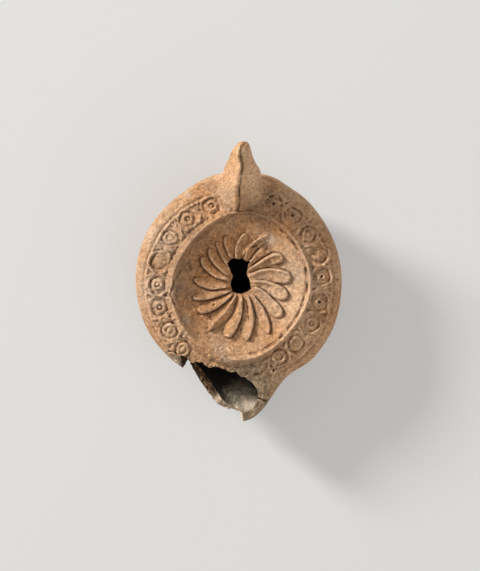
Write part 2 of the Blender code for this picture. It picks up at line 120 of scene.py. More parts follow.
def drawn_line(name, points):
    """A line drawn as by hand: a plane is merged to one point, which is extruded from place to place."""
    bpy.ops.mesh.primitive_plane_add(size=2 * MM)
    line = bpy.context.active_object
    line.name = name
    take_up(line)
    bpy.ops.object.mode_set(mode="EDIT")
    bpy.ops.mesh.select_all(action="SELECT")
    bpy.ops.mesh.merge(type="CENTER")
    last = np.zeros(3)
    for i, point in enumerate(points):
        step = tuple((np.asarray(point) - last) * MM)
        if i == 0:
            bpy.ops.transform.translate(value=step)
        else:
            bpy.ops.mesh.extrude_region_move(TRANSFORM_OT_translate={"value": step})
        last = np.asarray(point)
    bpy.ops.object.mode_set(mode="OBJECT")
    return line


def turned_on_wheel(name, profile, steps):
    """Spins a profile of (radius, height) pairs round the upright axis."""
    piece = drawn_line(name, [(radius, 0, height) for radius, height in profile])
    take_up(piece)
    bpy.ops.object.mode_set(mode="EDIT")
    bpy.ops.mesh.select_all(action="SELECT")
    bpy.ops.mesh.spin(steps=steps, angle=FULL_TURN, center=(0, 0, 0), axis=(0, 0, 1))
    close_up(piece)
    return piece


# %% [markdown]
# ## Camera, floor and light
#
# The photograph looks straight down on the lamp, handle at the top. A long lens from far away keeps the
# lamp's tall handle and its low edge at the same scale. The paper below is pale. A soft light stands low
# at the upper left, so that every petal throws a small shadow to the lower right. A wide weak light
# across from it and the room's own light fill the rest.

# %% Camera
VIEW_CENTRE = (0.5, -2.8)  # the plan point in the middle of the picture
VIEW_HEIGHT = 215.7  # how much of the plan the long side shows
WIDEST_LEVEL = 15.0
LENS = 240.0
SENSOR = 36.0
CLIP_END = 20  # metres

camera_height = WIDEST_LEVEL + VIEW_HEIGHT / SENSOR * LENS
bpy.ops.object.camera_add(
    location=(VIEW_CENTRE[0] * MM, VIEW_CENTRE[1] * MM, camera_height * MM), rotation=(0, 0, 0),
)
camera = bpy.context.active_object
camera.data.lens = LENS
camera.data.sensor_width = SENSOR
camera.data.clip_end = CLIP_END
bpy.context.scene.camera = camera
print(f"camera {camera_height:.0f} mm above the floor")

# %% Floor
FLOOR_SIZE = 4.0
bpy.ops.mesh.primitive_plane_add(size=FLOOR_SIZE, location=(0, 0, 0))
paper = bpy.context.active_object
paper.name = "paper"


def plain_material(name, colour, roughness):
    """A new material and its nodes, links and shader."""
    material = bpy.data.materials.new(name)
    material.use_nodes = True
    nodes, links = material.node_tree.nodes, material.node_tree.links
    shader = nodes["Principled BSDF"]
    shader.inputs["Base Color"].default_value = (*colour, 1)
    shader.inputs["Roughness"].default_value = roughness
    return material, nodes, links, shader


PAPER_GREY, PAPER_WHITE = (0.40, 0.40, 0.40), (1.0, 1.0, 0.985)
PAPER_GLOW = 0.26  # light that comes through the paper from below, which keeps the shadow soft and pale
paper_material, _, _, paper_shader = plain_material("pale paper", PAPER_GREY, 0.9)
paper_shader.inputs["Emission Color"].default_value = (*PAPER_WHITE, 1)
paper_shader.inputs["Emission Strength"].default_value = PAPER_GLOW
paper.data.materials.append(paper_material)

# %% Lights
LIGHT_DISTANCE = 2.2  # metres from the lamp
LIGHT_TINT = (1.0, 0.98, 0.95)
KEY_AZIMUTH = math.radians(144)  # counter-clockwise from +X
KEY_ELEVATION = math.radians(21)
KEY_SIZE = 0.5
KEY_POWER = 77.0
FILL_AZIMUTH = math.radians(-35)
FILL_ELEVATION = math.radians(38)
FILL_SIZE = 3.0
FILL_POWER = 20.0
ROOM_LIGHT = 0.40
ROOM_TINT = (1.0, 0.995, 0.98)


def disk_light(name, azimuth, elevation, size, power):
    """A round soft light that looks at the lamp from a direction."""
    level = LIGHT_DISTANCE * math.cos(elevation)
    bpy.ops.object.light_add(type="AREA", location=(
        level * math.cos(azimuth), level * math.sin(azimuth), LIGHT_DISTANCE * math.sin(elevation),
    ))
    light = bpy.context.active_object
    light.name = name
    light.data.shape = "DISK"
    light.data.size = size
    light.data.energy = power
    light.data.color = LIGHT_TINT
    light.rotation_mode = "QUATERNION"
    light.rotation_quaternion = light.location.to_track_quat("Z", "Y")


disk_light("key light", KEY_AZIMUTH, KEY_ELEVATION, KEY_SIZE, KEY_POWER)
disk_light("fill light", FILL_AZIMUTH, FILL_ELEVATION, FILL_SIZE, FILL_POWER)

world = bpy.data.worlds.new("room")
world.use_nodes = True
world.node_tree.nodes["Background"].inputs["Color"].default_value = (*ROOM_TINT, 1)
world.node_tree.nodes["Background"].inputs["Strength"].default_value = ROOM_LIGHT
bpy.context.scene.world = world
bpy.context.scene.view_settings.view_transform = "Standard"
print("lit by two disks and the room")

# %% [markdown]
# ## The lamp's plan
#
# Seen from above the body is nearly a circle, a little fuller towards the nozzle, as hand pressing
# leaves it. The nozzle is drawn out of that circle. These are the same named sizes as the solid model's,
# so that the fine lamp has the solid's form. Every shape is a function of plan position, which lets the
# carving follow it.

# %% Sizes of the body, as in the solid model
BODY_RADIUS = 39.0
LOWER_FULLNESS = 0.8
RIGHT_FULLNESS = 0.4
SEAM_HEIGHT = 15.0
FOOT_RADIUS = 19.0
FOOT_HEIGHT = 1.2
BOWL_ROUNDNESS = 1.7
KEEL_ROUNDNESS = 1.1
WICK_RADIUS = 6.4
WICK_X = 0.9
WICK_Y = -44.2
NOZZLE_RIM = 3.9
NOZZLE_CHEEK = 5.6
NOZZLE_REACH = -WICK_Y + WICK_RADIUS + NOZZLE_RIM
NOZZLE_ANGLE = math.atan2(WICK_Y, WICK_X)
# where hand pressing left the rim fuller than the solid: direction, spread in degrees and millimetres
SWELLS = (
    (90, 20, 2.7), (70, 8, 0.9), (52, 13, 0.8), (-34, 15, 0.9), (-50, 9, 1.0), (-130, 14, 0.5),
    (-150, 12, 0.4), (112, 9, 0.3), (-87, 7, -0.4), (0, 22, -0.12), (180, 22, -0.1),
)


def turned(angle, towards):
    """The angle between two directions, from -pi to pi."""
    return np.arctan2(np.sin(angle - towards), np.cos(angle - towards))


def nozzle_share(angle):
    """1 in the nozzle's direction, falling to 0 beside it."""
    neck = BODY_RADIUS + LOWER_FULLNESS
    half_width = WICK_RADIUS + NOZZLE_CHEEK
    cheek = (math.hypot(half_width, WICK_Y) - neck) / (NOZZLE_REACH - neck)
    spread = math.atan2(half_width, -WICK_Y) / math.sqrt(-math.log(cheek))
    return np.exp(-((turned(angle, NOZZLE_ANGLE) / spread) ** 2))


def outline_radius(angle):
    swell = LOWER_FULLNESS + RIGHT_FULLNESS * np.cos(angle) * (1 - np.sin(angle))
    nozzle = (NOZZLE_REACH - BODY_RADIUS - LOWER_FULLNESS) * nozzle_share(angle)
    by_hand = sum(
        rise * np.exp(-((turned(angle, math.radians(towards)) / math.radians(spread)) ** 2))
        for towards, spread, rise in SWELLS
    )
    return BODY_RADIUS - swell * np.sin(angle) + nozzle + by_hand


def lower_radius(angle, height):
    """Plan radius of the lower half at a height between the foot and the seam."""
    rise = np.clip((height - FOOT_HEIGHT) / (SEAM_HEIGHT - FOOT_HEIGHT), 0, 1)
    power = BOWL_ROUNDNESS + (KEEL_ROUNDNESS - BOWL_ROUNDNESS) * nozzle_share(angle)
    share = (1 - (1 - rise) ** power) ** (1 / power)
    return FOOT_RADIUS + (outline_radius(angle) - FOOT_RADIUS) * share


# %% Sizes of the top, as in the solid model
LINE_X, LINE_Y = 0.1, -3.0
LINE_RADIUS = 35.0
GROOVE_RADIUS = 35.9
BAND_HEIGHT = 22.2
BAND_DROP = 2.2
BAND_ROUNDNESS = 2.0
EDGE_INSET = 1.0
SHOULDER_HEIGHT = 25.2
DISCUS_X, DISCUS_Y = 0.8, -3.0
RIDGE_RADIUS = 26.4
RIDGE_OVAL = 1.2
RIDGE_OVAL_ANGLE = math.radians(68)
RIDGE_SQUARENESS = 0.5
DISCUS_DEPTH = 5.6
DISCUS_ROUNDNESS = 3.2


def ridge_radius(angle):
    """Plan radius, about the discus's centre, of the ridge round it: a little oval and a little square."""
    oval = RIDGE_OVAL * np.cos(2 * (angle - RIDGE_OVAL_ANGLE))
    return RIDGE_RADIUS + oval + RIDGE_SQUARENESS * np.cos(4 * angle)


def share_between(passed, ahead):
    """How far along a way a point is, from what lies behind it and ahead of it."""
    passed = np.maximum(passed, 0)
    return passed / (passed + np.maximum(ahead, 0) + 0.01)


def plain_height(x, y):
    """The top without its carving: the sunk discus, the sloping shoulder and the rounded outer band."""
    across = np.hypot(x - DISCUS_X, y - DISCUS_Y)
    ridge = ridge_radius(np.arctan2(y - DISCUS_Y, x - DISCUS_X))
    inset = outline_radius(np.arctan2(y, x)) - np.hypot(x, y)
    bowl = DISCUS_DEPTH * (1 - np.minimum(across / ridge, 1) ** DISCUS_ROUNDNESS)
    to_line = LINE_RADIUS - np.hypot(x - LINE_X, y - LINE_Y)
    slope = share_between(across - ridge, to_line)
    turn = share_between(-to_line, inset - EDGE_INSET)
    shoulder = SHOULDER_HEIGHT - (SHOULDER_HEIGHT - BAND_HEIGHT) * slope
    return shoulder - bowl - BAND_DROP * turn**BAND_ROUNDNESS


print(f"outline {outline_radius(0.0):.1f} mm right, {outline_radius(NOZZLE_ANGLE):.1f} mm to the tip")

# %% [markdown]
# ## Tools of relief
#
# All the carving is made of a few strokes: a soft ridge on a line, a step at an edge, a dot, and the
# slight unevenness of pressed clay. Each stroke is a height over the plan. Random numbers come from
# seeded tables, so the lamp is the same each time.


# %% Strokes
def bump(distance, half_width):
    """1 on a line, falling to nothing past its half width."""
    return np.exp(-((distance / half_width) ** 2))


def ramp(value, start, end):
    """Smoothly from 0 at start to 1 at end, either way round."""
    share = np.clip((value - start) / (end - start), 0, 1)
    return share * share * (3 - 2 * share)


def unevenness(x, y, size, seed):
    """Smooth random values from -1 to 1 that change over a size."""
    table = np.random.RandomState(seed).uniform(-1, 1, (64, 64))
    column, row = x / size + 1000, y / size + 1000
    left, low = np.floor(column).astype(int), np.floor(row).astype(int)
    u, v = column - left, row - low
    u, v = u * u * (3 - 2 * u), v * v * (3 - 2 * v)
    corners = [table[(left + i) % 64, (low + j) % 64] for i in (0, 1) for j in (0, 1)]
    return (corners[0] * (1 - v) + corners[1] * v) * (1 - u) + (corners[2] * (1 - v) + corners[3] * v) * u


def rough(x, y, size, seed):
    """Unevenness with finer unevenness on it."""
    return (unevenness(x, y, size, seed) + 0.5 * unevenness(x, y, size / 2.1, seed + 1)
            + 0.25 * unevenness(x, y, size / 4.3, seed + 2)) / 1.75


def line_distance(x, y, points):
    """Distance in plan to a line through several points."""
    nearest = np.full(np.shape(x), 1e3)
    for (ax, ay), (bx, by) in zip(points, points[1:]):
        length = (bx - ax) ** 2 + (by - ay) ** 2 + 1e-9
        share = np.clip(((x - ax) * (bx - ax) + (y - ay) * (by - ay)) / length, 0, 1)
        nearest = np.minimum(nearest, np.hypot(x - ax - share * (bx - ax), y - ay - share * (by - ay)))
    return nearest


# %% [markdown]
# ## The rosette
#
# Eighteen tongues turn round the filling hole like a pinwheel. Each is a little higher along the side
# that it turns from, and drops there in a crisp step onto its neighbour. Those at the upper left are
# worn nearly flat, and one at the upper right is broken. So each petal has its own spine, widths and
# strength.

# %% Rosette
ROSETTE_X, ROSETTE_Y = 0.4, -2.3
PETALS = (
    # strength, section, and the spine from root to tip: x, y, half width
    (1.0, "rim", ((4.6, 0.2, 1.4), (9.8, 1.2, 2.3), (14.4, 0.75, 2.55), (17.2, 0.3, 2.45))),
    (1.05, "rim", ((4.4, 2.9, 0.7), (9.3, 5.4, 1.6), (12.7, 7.0, 2.0), (14.8, 7.4, 1.95))),
    (0.4, "tongue", ((4.7, 6.1, 0.8), (8.1, 9.2, 1.4), (10.7, 11.8, 1.3))),
    (0.7, "rim", ((2.9, 7.5, 0.9), (5.3, 10.9, 1.6), (8.1, 13.8, 1.3))),
    (0.9, "rim", ((-0.2, 8.4, 1.1), (0.8, 12.1, 1.6), (2.2, 15.5, 1.1))),
    (0.7, "tongue", ((-2.9, 8.7, 0.9), (-4.0, 12.1, 1.3), (-4.3, 14.9, 1.1))),
    (0.65, "tongue", ((-3.8, 5.3, 0.8), (-6.0, 9.2, 1.2), (-7.5, 12.6, 1.2))),
    (1.0, "tongue", ((-4.3, 1.9, 1.0), (-7.5, 5.0, 1.4), (-9.9, 8.6, 1.4), (-10.6, 10.3, 0.8))),
    (1.1, "tongue", ((-4.0, -0.4, 0.7), (-8.3, 1.6, 1.5), (-11.7, 4.7, 1.7), (-13.3, 7.0, 1.1))),
    (1.05, "tongue", ((-4.3, -2.9, 0.85), (-9.4, -2.6, 1.7), (-13.4, -1.5, 1.8), (-15.4, -0.7, 1.2))),
    (1.0, "tongue", ((-3.2, -4.5, 0.7), (-8.3, -5.6, 1.5), (-12.8, -6.7, 1.6), (-16.2, -7.2, 1.0))),
    (1.05, "tongue", ((-2.9, -6.0, 0.7), (-7.7, -9.0, 1.7), (-11.7, -11.0, 1.9), (-13.7, -11.8, 1.6))),
    (1.1, "keel", ((-1.5, -6.9, 0.8), (-4.6, -12.0, 2.2), (-8.3, -15.6, 2.5), (-10.6, -18.8, 0.8))),
    (1.05, "tongue", ((0.6, -7.2, 0.8), (-0.4, -12.8, 1.7), (-2.5, -17.9, 2.2), (-3.9, -20.5, 1.8))),
    (1.05, "rim", (
        (3.1, -7.2, 0.85), (3.5, -11.7, 1.8), (3.4, -16.2, 2.5), (3.0, -20.2, 1.9), (3.1, -22.9, 0.5),
    )),
    (1.0, "rim", (
        (5.3, -7.2, 0.8), (7.6, -11.7, 1.7), (9.4, -15.7, 1.9), (10.6, -18.5, 1.2), (11.2, -20.5, 0.4),
    )),
    (1.0, "rim", ((6.4, -4.3, 1.0), (9.0, -6.6, 1.8), (11.5, -9.4, 2.2), (14.4, -12.7, 2.2))),
    (1.05, "rim", ((5.0, -1.8, 0.9), (9.8, -2.7, 1.7), (13.2, -4.4, 2.3), (16.1, -6.0, 2.4))),
)
PETAL_HEIGHT = 1.5
PETAL_WALL = 0.24
PETAL_GAP, PETAL_GAP_AT, PETAL_GAP_WIDTH = 0.3, 0.4, 0.3  # the cut along a petal's high side and tip
PETAL_SHAKE, PETAL_SHAKE_SIZE = 0.16, 2.6  # how unsteady the edges are
TIP_START, TIP_END = 1.6, 0.5  # how far past the last width the tip begins and is whole
ROOT_BARE, ROOT_WHOLE, ROOT_UNCUT, ROOT_CUT = 3.0, 6.0, 6.0, 10.0  # radii between which petals and cuts rise
RIM_INSET, RIM_HALF_WIDTH = 0.75, 0.5


def smoothed(spine, parts=4):
    """A smooth curve through the points of a spine."""
    given = np.array(spine)
    padded = np.vstack([2 * given[0] - given[1], given, 2 * given[-1] - given[-2]])
    curve = []
    for before, start, end, after in zip(padded, padded[1:], padded[2:], padded[3:]):
        for t in np.linspace(0, 1, parts, endpoint=False):
            second = 2 * before - 5 * start + 4 * end - after
            third = 3 * start - before - 3 * end + after
            curve.append(start + (end - before) * t / 2 + second * t**2 / 2 + third * t**3 / 2)
    return curve + [given[-1]]


def across_petal(x, y, spine):
    """Distance past the petal's edge, negative inside, and the side from -1 (right) to 1 (left)."""
    edge = np.full(np.shape(x), 1e3)
    side = np.zeros_like(x)
    for (ax, ay, start_width), (bx, by, end_width) in zip(spine, spine[1:]):
        length = math.hypot(bx - ax, by - ay)
        ux, uy = (bx - ax) / length, (by - ay) / length
        along = np.clip(((x - ax) * ux + (y - ay) * uy) / length, 0, 1)
        away_x, away_y = x - ax - along * length * ux, y - ay - along * length * uy
        width = start_width + (end_width - start_width) * along
        past = np.hypot(away_x, away_y) - width
        nearer = past < edge
        edge = np.where(nearer, past, edge)
        side = np.where(nearer, (ux * away_y - uy * away_x) / width, side)
    return edge, side


def petal_relief(x, y):
    radius = np.hypot(x - ROSETTE_X, y - ROSETTE_Y)
    top = np.zeros_like(x)
    cut = np.zeros_like(x)
    shaken_x = x + PETAL_SHAKE * unevenness(x, y, PETAL_SHAKE_SIZE, 15)
    shaken_y = y + PETAL_SHAKE * unevenness(x, y, PETAL_SHAKE_SIZE, 16)
    for strength, section, spine in PETALS:
        spine = smoothed(spine)
        low, high = np.min(spine, axis=0), np.max(spine, axis=0)
        reach = high[2] + TIP_START
        near = (np.abs(x - (low[0] + high[0]) / 2) < (high[0] - low[0]) / 2 + reach) & (
            np.abs(y - (low[1] + high[1]) / 2) < (high[1] - low[1]) / 2 + reach)
        edge, side = across_petal(shaken_x[near], shaken_y[near], spine)
        tip_x, tip_y, tip_width = spine[-1]
        from_tip = np.hypot(x[near] - tip_x, y[near] - tip_y)
        at_tip = ramp(from_tip, tip_width + TIP_START, tip_width + TIP_END)
        if section == "rim":
            rimmed = np.maximum(ramp(side, 0.0, 0.5), 0.6 * at_tip)
            level = 0.4 + 0.28 * side + 0.1 * side**2 + 0.35 * at_tip
            level = level + 0.3 * rimmed * bump(edge + RIM_INSET, RIM_HALF_WIDTH)
        elif section == "keel":
            level = 0.2 + 0.8 * bump(side - 0.1, 0.5)
        else:
            level = 0.15 + 0.85 * ramp(side, -1.15, 0.55)
        standing = ramp(edge, PETAL_WALL, -PETAL_WALL)
        top[near] = np.maximum(top[near], strength * PETAL_HEIGHT * level * standing)
        beside = np.maximum(ramp(side, -0.2, 0.4), 0.8 * at_tip) * ramp(edge, -0.05, 0.1)
        gap = PETAL_GAP * beside * bump(edge - PETAL_GAP_AT, PETAL_GAP_WIDTH)
        cut[near] = np.maximum(cut[near], strength * gap)
    return (top - cut * ramp(radius, ROOT_UNCUT, ROOT_CUT)) * ramp(radius, ROOT_BARE, ROOT_WHOLE)


# lines that stand out where petals are worn or broken, and the cuts beside them: points, height, half width
ROSETTE_RIBS = (
    (((-4.6, 17.1), (-0.6, 14.4)), 0.45, 0.45),
    (((-1.4, 9.5), (-0.3, 14.4), (1.5, 16.1), (3.7, 17.1)), 0.5, 0.45),
    (((2.0, 9.2), (3.7, 12.2), (5.8, 13.6), (10.2, 15.8)), 0.85, 0.6),
    (((-10.0, -13.5), (-11.2, -16.5), (-10.9, -19.0)), 0.35, 0.5),
)
ROSETTE_CUTS = (
    (((4.3, 7.3), (5.8, 9.4), (7.1, 11.0)), 0.7, 0.5),
    (((5.0, 11.7), (6.4, 12.5)), 0.9, 0.45),
    (((10.1, 12.4), (10.5, 10.9)), 1.0, 0.7),
    (((5.6, 4.9), (9.4, 7.6), (12.4, 9.6)), 0.5, 0.35),
    (((3.0, -8.6), (3.4, -12.0), (3.9, -15.4)), 0.45, 0.35),
)

# %% [markdown]
# ## Ring ornaments on the shoulder
#
# Each was stamped into the mould: a dot, a small ring and a wide ring, never quite round. Between two of
# them a pair of short rays opens towards the outer line, and another towards the ridge. The mould was
# worn, so a ring fades here and there. One random table gives each ornament its own wobble and gaps.

# %% Shoulder ornaments
LEFT_RINGS = (
    (32.1, 110.2), (32.1, 128.3), (32.0, 145.7), (32.1, 163.3), (31.2, 179.3), (31.5, 194.6), (31.5, 211.7),
    (32.2, 227.8),
)
RIGHT_RINGS = (
    (33.4, 68.5), (32.9, 53.9), (31.8, 37.6), (31.6, 21.7), (30.6, 6.8), (30.0, -11.2), (29.9, -28.0),
    (29.9, -46.2), (30.2, -61.8),
)
RING_KINDS = {
    # raised and sunk circles: radius, half width, height
    "dot": ((0.0, 0.38, 0.4), (0.8, 0.32, -0.75), (1.45, 0.36, 0.4), (2.8, 0.5, -0.35), (3.8, 0.48, 0.7)),
    "eye": ((0.0, 0.45, -1.1), (1.0, 0.36, 0.75), (1.6, 0.3, -0.2), (2.8, 0.5, -0.3), (3.8, 0.48, 0.8)),
    "boss": ((0.0, 0.75, 0.5), (1.25, 0.3, -0.3), (2.0, 0.45, 0.35), (2.95, 0.45, -0.4), (3.8, 0.48, 0.7)),
    "dome": ((0.0, 1.3, 0.5), (1.9, 0.35, -0.2), (3.0, 0.5, -0.35), (3.8, 0.48, 0.7)),
}
LEFT_KINDS = ("dot", "dot", "boss", "dome", "dot", "dot", "boss", "boss")
RIGHT_KINDS = ("eye", "eye", "boss", "dome", "eye", "eye", "dot", "boss", "boss")
BOSS_HEIGHT, BOSS_EDGE, BOSS_TOP = 0.35, 2.9, 2.1
RING_REACH = 5.4
RING_JITTER, RING_JITTER_SIZE = 0.26, 1.5
RAY_ROOT, RAY_TIP, RAY_SPREAD = 1.1, 3.5, 1.35
RAY_HALF_WIDTH, RAY_HEIGHT, RAY_REACH = 0.42, 0.85, 5


def on_shoulder(distance, degrees):
    """Plan point at a distance and direction from the discus's centre."""
    angle = math.radians(degrees)
    return DISCUS_X + distance * math.cos(angle), DISCUS_Y + distance * math.sin(angle)


def ring_relief(x, y):
    height = np.zeros_like(x)
    for number, (distance, degrees) in enumerate(LEFT_RINGS + RIGHT_RINGS):
        luck = np.random.RandomState(100 + number)
        centre_x, centre_y = on_shoulder(distance, degrees)
        away = np.hypot(x - centre_x, y - centre_y)
        near = away < RING_REACH
        angle = np.arctan2(y[near] - centre_y, x[near] - centre_x)
        wobble = 0.05 * np.cos(2 * angle + luck.uniform(0, 6))
        wobble = wobble + 0.02 * np.cos(3 * angle + luck.uniform(0, 6))
        across = away[near] * (1 + wobble)
        across = across + RING_JITTER * unevenness(x[near], y[near], RING_JITTER_SIZE, 17)
        outwards = np.cos(angle - math.radians(degrees))
        mark = BOSS_HEIGHT * ramp(across, BOSS_EDGE, BOSS_TOP)
        for radius, half_width, rise in RING_KINDS[(LEFT_KINDS + RIGHT_KINDS)[number]]:
            fade = 0.8 + 0.3 * np.cos(angle + luck.uniform(0, 6)) * (radius > 0.5)
            if radius > 3.5:
                fade = fade * (0.62 + 0.5 * outwards) * luck.uniform(0.8, 1.15)
            mark = mark + rise * fade * bump(across - radius, half_width)
        height[near] += mark
    return height


def ray_relief(x, y):
    height = np.zeros_like(x)
    for number, rings in enumerate((LEFT_RINGS, RIGHT_RINGS)):
        luck = np.random.RandomState(300 + number)
        for (one, start), (other, end) in zip(rings, rings[1:]):
            distance, middle = (one + other) / 2, (start + end) / 2
            for side in (1, -1):
                for lean in (-1, 1):
                    root = on_shoulder(distance + side * RAY_ROOT, middle)
                    reach = RAY_TIP * luck.uniform(0.88, 1.05)
                    spread = math.degrees(RAY_SPREAD * luck.uniform(0.7, 1.2) / (distance + side * reach))
                    tip = on_shoulder(distance + side * reach, middle + lean * spread)
                    near = np.hypot(x - root[0], y - root[1]) < RAY_REACH
                    away = line_distance(x[near], y[near], (root, tip))
                    rise = RAY_HEIGHT * luck.uniform(0.6, 1.2)
                    height[near] = np.maximum(height[near], rise * bump(away, RAY_HALF_WIDTH))
    return height


# %% [markdown]
# ## Lines, cracks and pits
#
# A thin ridge with a sharp groove inside it frames the discus. A raised line and a groove part the
# ornaments from the smooth outer band, and fade at the nozzle. On the left a real crack runs along the
# ridge. Thin crusts of lime stand on the left of the discus, small pits are where grit fell out, and a
# crack crosses the nozzle's rim.

# %% Lines and damage
RIDGE_HEIGHT, RIDGE_HALF_WIDTH = 1.15, 0.46
WORN_SPOT, WORN_RADII = (-14, -27), (4, 11)  # where the ridge is rubbed away
RIDGE_LEFT_WIDENING = 1.5  # how much broader the ridge is on the left
# the groove inside the ridge, deepest on the right, and the shallow one outside it
INNER_OFFSET, INNER_DEPTH, INNER_HALF_WIDTH = -1.2, 1.0, 0.55
OUTER_OFFSET, OUTER_DEPTH, OUTER_HALF_WIDTH = 1.5, 0.25, 0.5
LINE_HEIGHT, GROOVE_DEPTH, LINE_HALF_WIDTH = 0.7, 0.4, 0.45
EDGE_LINE_INSET, EDGE_LINE_HEIGHT, EDGE_LINE_HALF_WIDTH = 1.5, 0.18, 0.35
CRACKS = (
    # line, depth, half width
    (((-24.1, -1.0), (-25.2, -4.7), (-25.7, -6.5), (-24.2, -9.8)), 1.1, 0.32),
    (((-24.2, -9.8), (-22.8, -12.6), (-20.0, -17.8)), 0.4, 0.3),
    (((-19.6, 5.6), (-20.8, 3.8), (-23.0, 0.6), (-24.1, -1.0)), 0.3, 0.3),
    (((7.0, -45.3), (9.1, -45.9), (10.6, -46.2), (12.6, -45.2)), 1.5, 0.32),
    (((-22.0, -28.9), (-24.0, -28.0), (-26.5, -27.6)), 0.8, 0.3),
)
CRUSTS = (
    (((-16.5, -4.9), (-17.7, -6.6), (-19.4, -7.1), (-20.1, -9.0), (-20.7, -10.1)), 0.42, 0.3),
    (((-19.6, -12.4), (-20.1, -13.8), (-18.8, -15.3)), 0.4, 0.6),
    (((-19.8, -16.0), (-19.4, -17.5), (-18.1, -19.4)), 0.32, 0.3),
    (((-16.9, 7.4), (-14.4, 7.9), (-11.5, 7.6)), 0.35, 0.3),
    (((-17.4, 3.0), (-15.6, 3.6), (-14.8, 2.6)), 0.4, 0.4),
)
WORN_MARKS = (
    # what is left of an ornament on the nozzle's shoulder
    (((11.2, -32.6), (13.2, -36.8)), 0.9, 0.5),
    (((14.9, -33.0), (13.2, -36.8)), 0.9, 0.5),
    (((9.4, -31.5), (12.0, -30.4), (14.4, -31.2)), 0.7, 0.5),
    (((16.4, -30.9), (18.2, -28.6)), 0.45, 0.5),
    (((6.0, -34.2), (8.4, -33.4)), 0.5, 0.6),
)
PITS = (
    # place, radius, depth
    (-18.5, 4.3, 0.45, 0.8), (-9.4, -10.1, 0.4, 0.8), (8.2, -3.1, 0.35, 0.5), (7.1, -21.7, 0.4, 0.6),
    (20.6, -4.0, 0.35, 0.5), (20.4, -7.0, 0.3, 0.4), (22.4, -6.5, 0.3, 0.4), (16.6, -20.1, 0.4, 0.4),
    (-37.2, -7.6, 0.7, 0.9), (-19.0, 6.0, 0.3, 0.6), (1.4, 31.2, 0.5, 0.9), (-4.3, -29.9, 0.8, 0.6),
    (12.6, -45.3, 0.9, 2.2), (19.6, 36.0, 0.4, 0.4), (-26.1, -24.6, 0.5, 0.5), (7.7, 28.3, 0.4, 0.4),
)
STROKE_SHAKE_SIZE = 1.1
WAVES = ((0.14, 9.0, 31), (0.11, 3.1, 32), (0.12, 1.7, 37))  # height, size, seed
LUMP_SIZE, GRIT_HEIGHT, GRIT_SIZE = 1.5, 0.13, 0.9


def line_relief(x, y):
    across = np.hypot(x - DISCUS_X, y - DISCUS_Y)
    angle = np.arctan2(y - DISCUS_Y, x - DISCUS_X)
    from_ridge = across - ridge_radius(angle) + 0.22 * unevenness(x, y, 4.0, 11)
    worn = ramp(np.hypot(x - WORN_SPOT[0], y - WORN_SPOT[1]), *WORN_RADII)
    left_side = ramp(-np.cos(angle - 0.35), -0.35, 0.5)
    at_handle = bump(turned(angle, math.pi / 2), 0.4)
    widening = 1 + RIDGE_LEFT_WIDENING * left_side
    ridge = RIDGE_HEIGHT * (0.35 + 0.65 * worn) * (0.85 + 0.2 * unevenness(x, y, 2.0, 18))
    ridge = ridge * (1 - 0.4 * at_handle) * bump(from_ridge, RIDGE_HALF_WIDTH * widening)
    bitten = 0.8 + 0.6 * unevenness(x, y, 1.6, 12)
    inner = INNER_DEPTH * bitten * (1 - 0.6 * left_side) * (1 - 0.85 * at_handle) * worn
    inner = inner * bump(from_ridge - INNER_OFFSET * (1 + 0.5 * left_side), INNER_HALF_WIDTH)
    outer = OUTER_DEPTH * (1 + 1.2 * left_side)
    outer = outer * bump(from_ridge - OUTER_OFFSET * (1 + 0.7 * left_side), OUTER_HALF_WIDTH)
    inset = outline_radius(np.arctan2(y, x)) - np.hypot(x, y)
    edge_line = EDGE_LINE_HEIGHT * (1 - left_side) * bump(inset - EDGE_LINE_INSET, EDGE_LINE_HALF_WIDTH)
    on_body = 1 - nozzle_share(np.arctan2(y, x))
    across_lines = np.hypot(x - LINE_X, y - LINE_Y) + 0.15 * unevenness(x, y, 5.0, 13)
    groove = GROOVE_DEPTH * bump(across_lines - GROOVE_RADIUS, LINE_HALF_WIDTH)
    line = LINE_HEIGHT * (0.8 + 0.4 * unevenness(x, y, 6.0, 14))
    line = line * bump(across_lines - LINE_RADIUS, LINE_HALF_WIDTH)
    return ridge - inner - outer + on_body * (line - groove + edge_line)


def strokes(x, y, lines, jitter=0.0):
    """The highest of several strokes, each a line, a height and a half width."""
    height = np.zeros_like(x)
    shaken_x = x + jitter * unevenness(x, y, STROKE_SHAKE_SIZE, 21)
    shaken_y = y + jitter * unevenness(x, y, STROKE_SHAKE_SIZE, 22)
    for points, rise, half_width in lines:
        away = line_distance(shaken_x, shaken_y, points)
        height = np.maximum(height, rise * bump(away, half_width))
    return height


def pit_relief(x, y):
    depth = np.zeros_like(x)
    for px, py, radius, sink in PITS:
        depth = np.maximum(depth, sink * bump(np.hypot(x - px, y - py), radius))
    return depth


def clay_unevenness(x, y):
    """Finger-soft waves, lumps of the worn mould, the burnt nozzle and the crusted left slope, and grit."""
    across = np.hypot(x - DISCUS_X, y - DISCUS_Y)
    on_ornaments = ramp(across, 25, 28) * ramp(np.hypot(x - LINE_X, y - LINE_Y), 35.5, 34)
    on_nozzle = ramp(y, -30, -35)
    waves = sum(height * unevenness(x, y, size, seed) for height, size, seed in WAVES)
    on_left_slope = ramp(across, 26, 22) * ramp(across, 10, 15) * ramp(x, -4, -11)
    lumps = (0.5 * on_ornaments + 0.75 * on_nozzle + 0.5 * on_left_slope) * rough(x, y, LUMP_SIZE, 33)
    return waves + lumps + GRIT_HEIGHT * rough(x, y, GRIT_SIZE, 36)


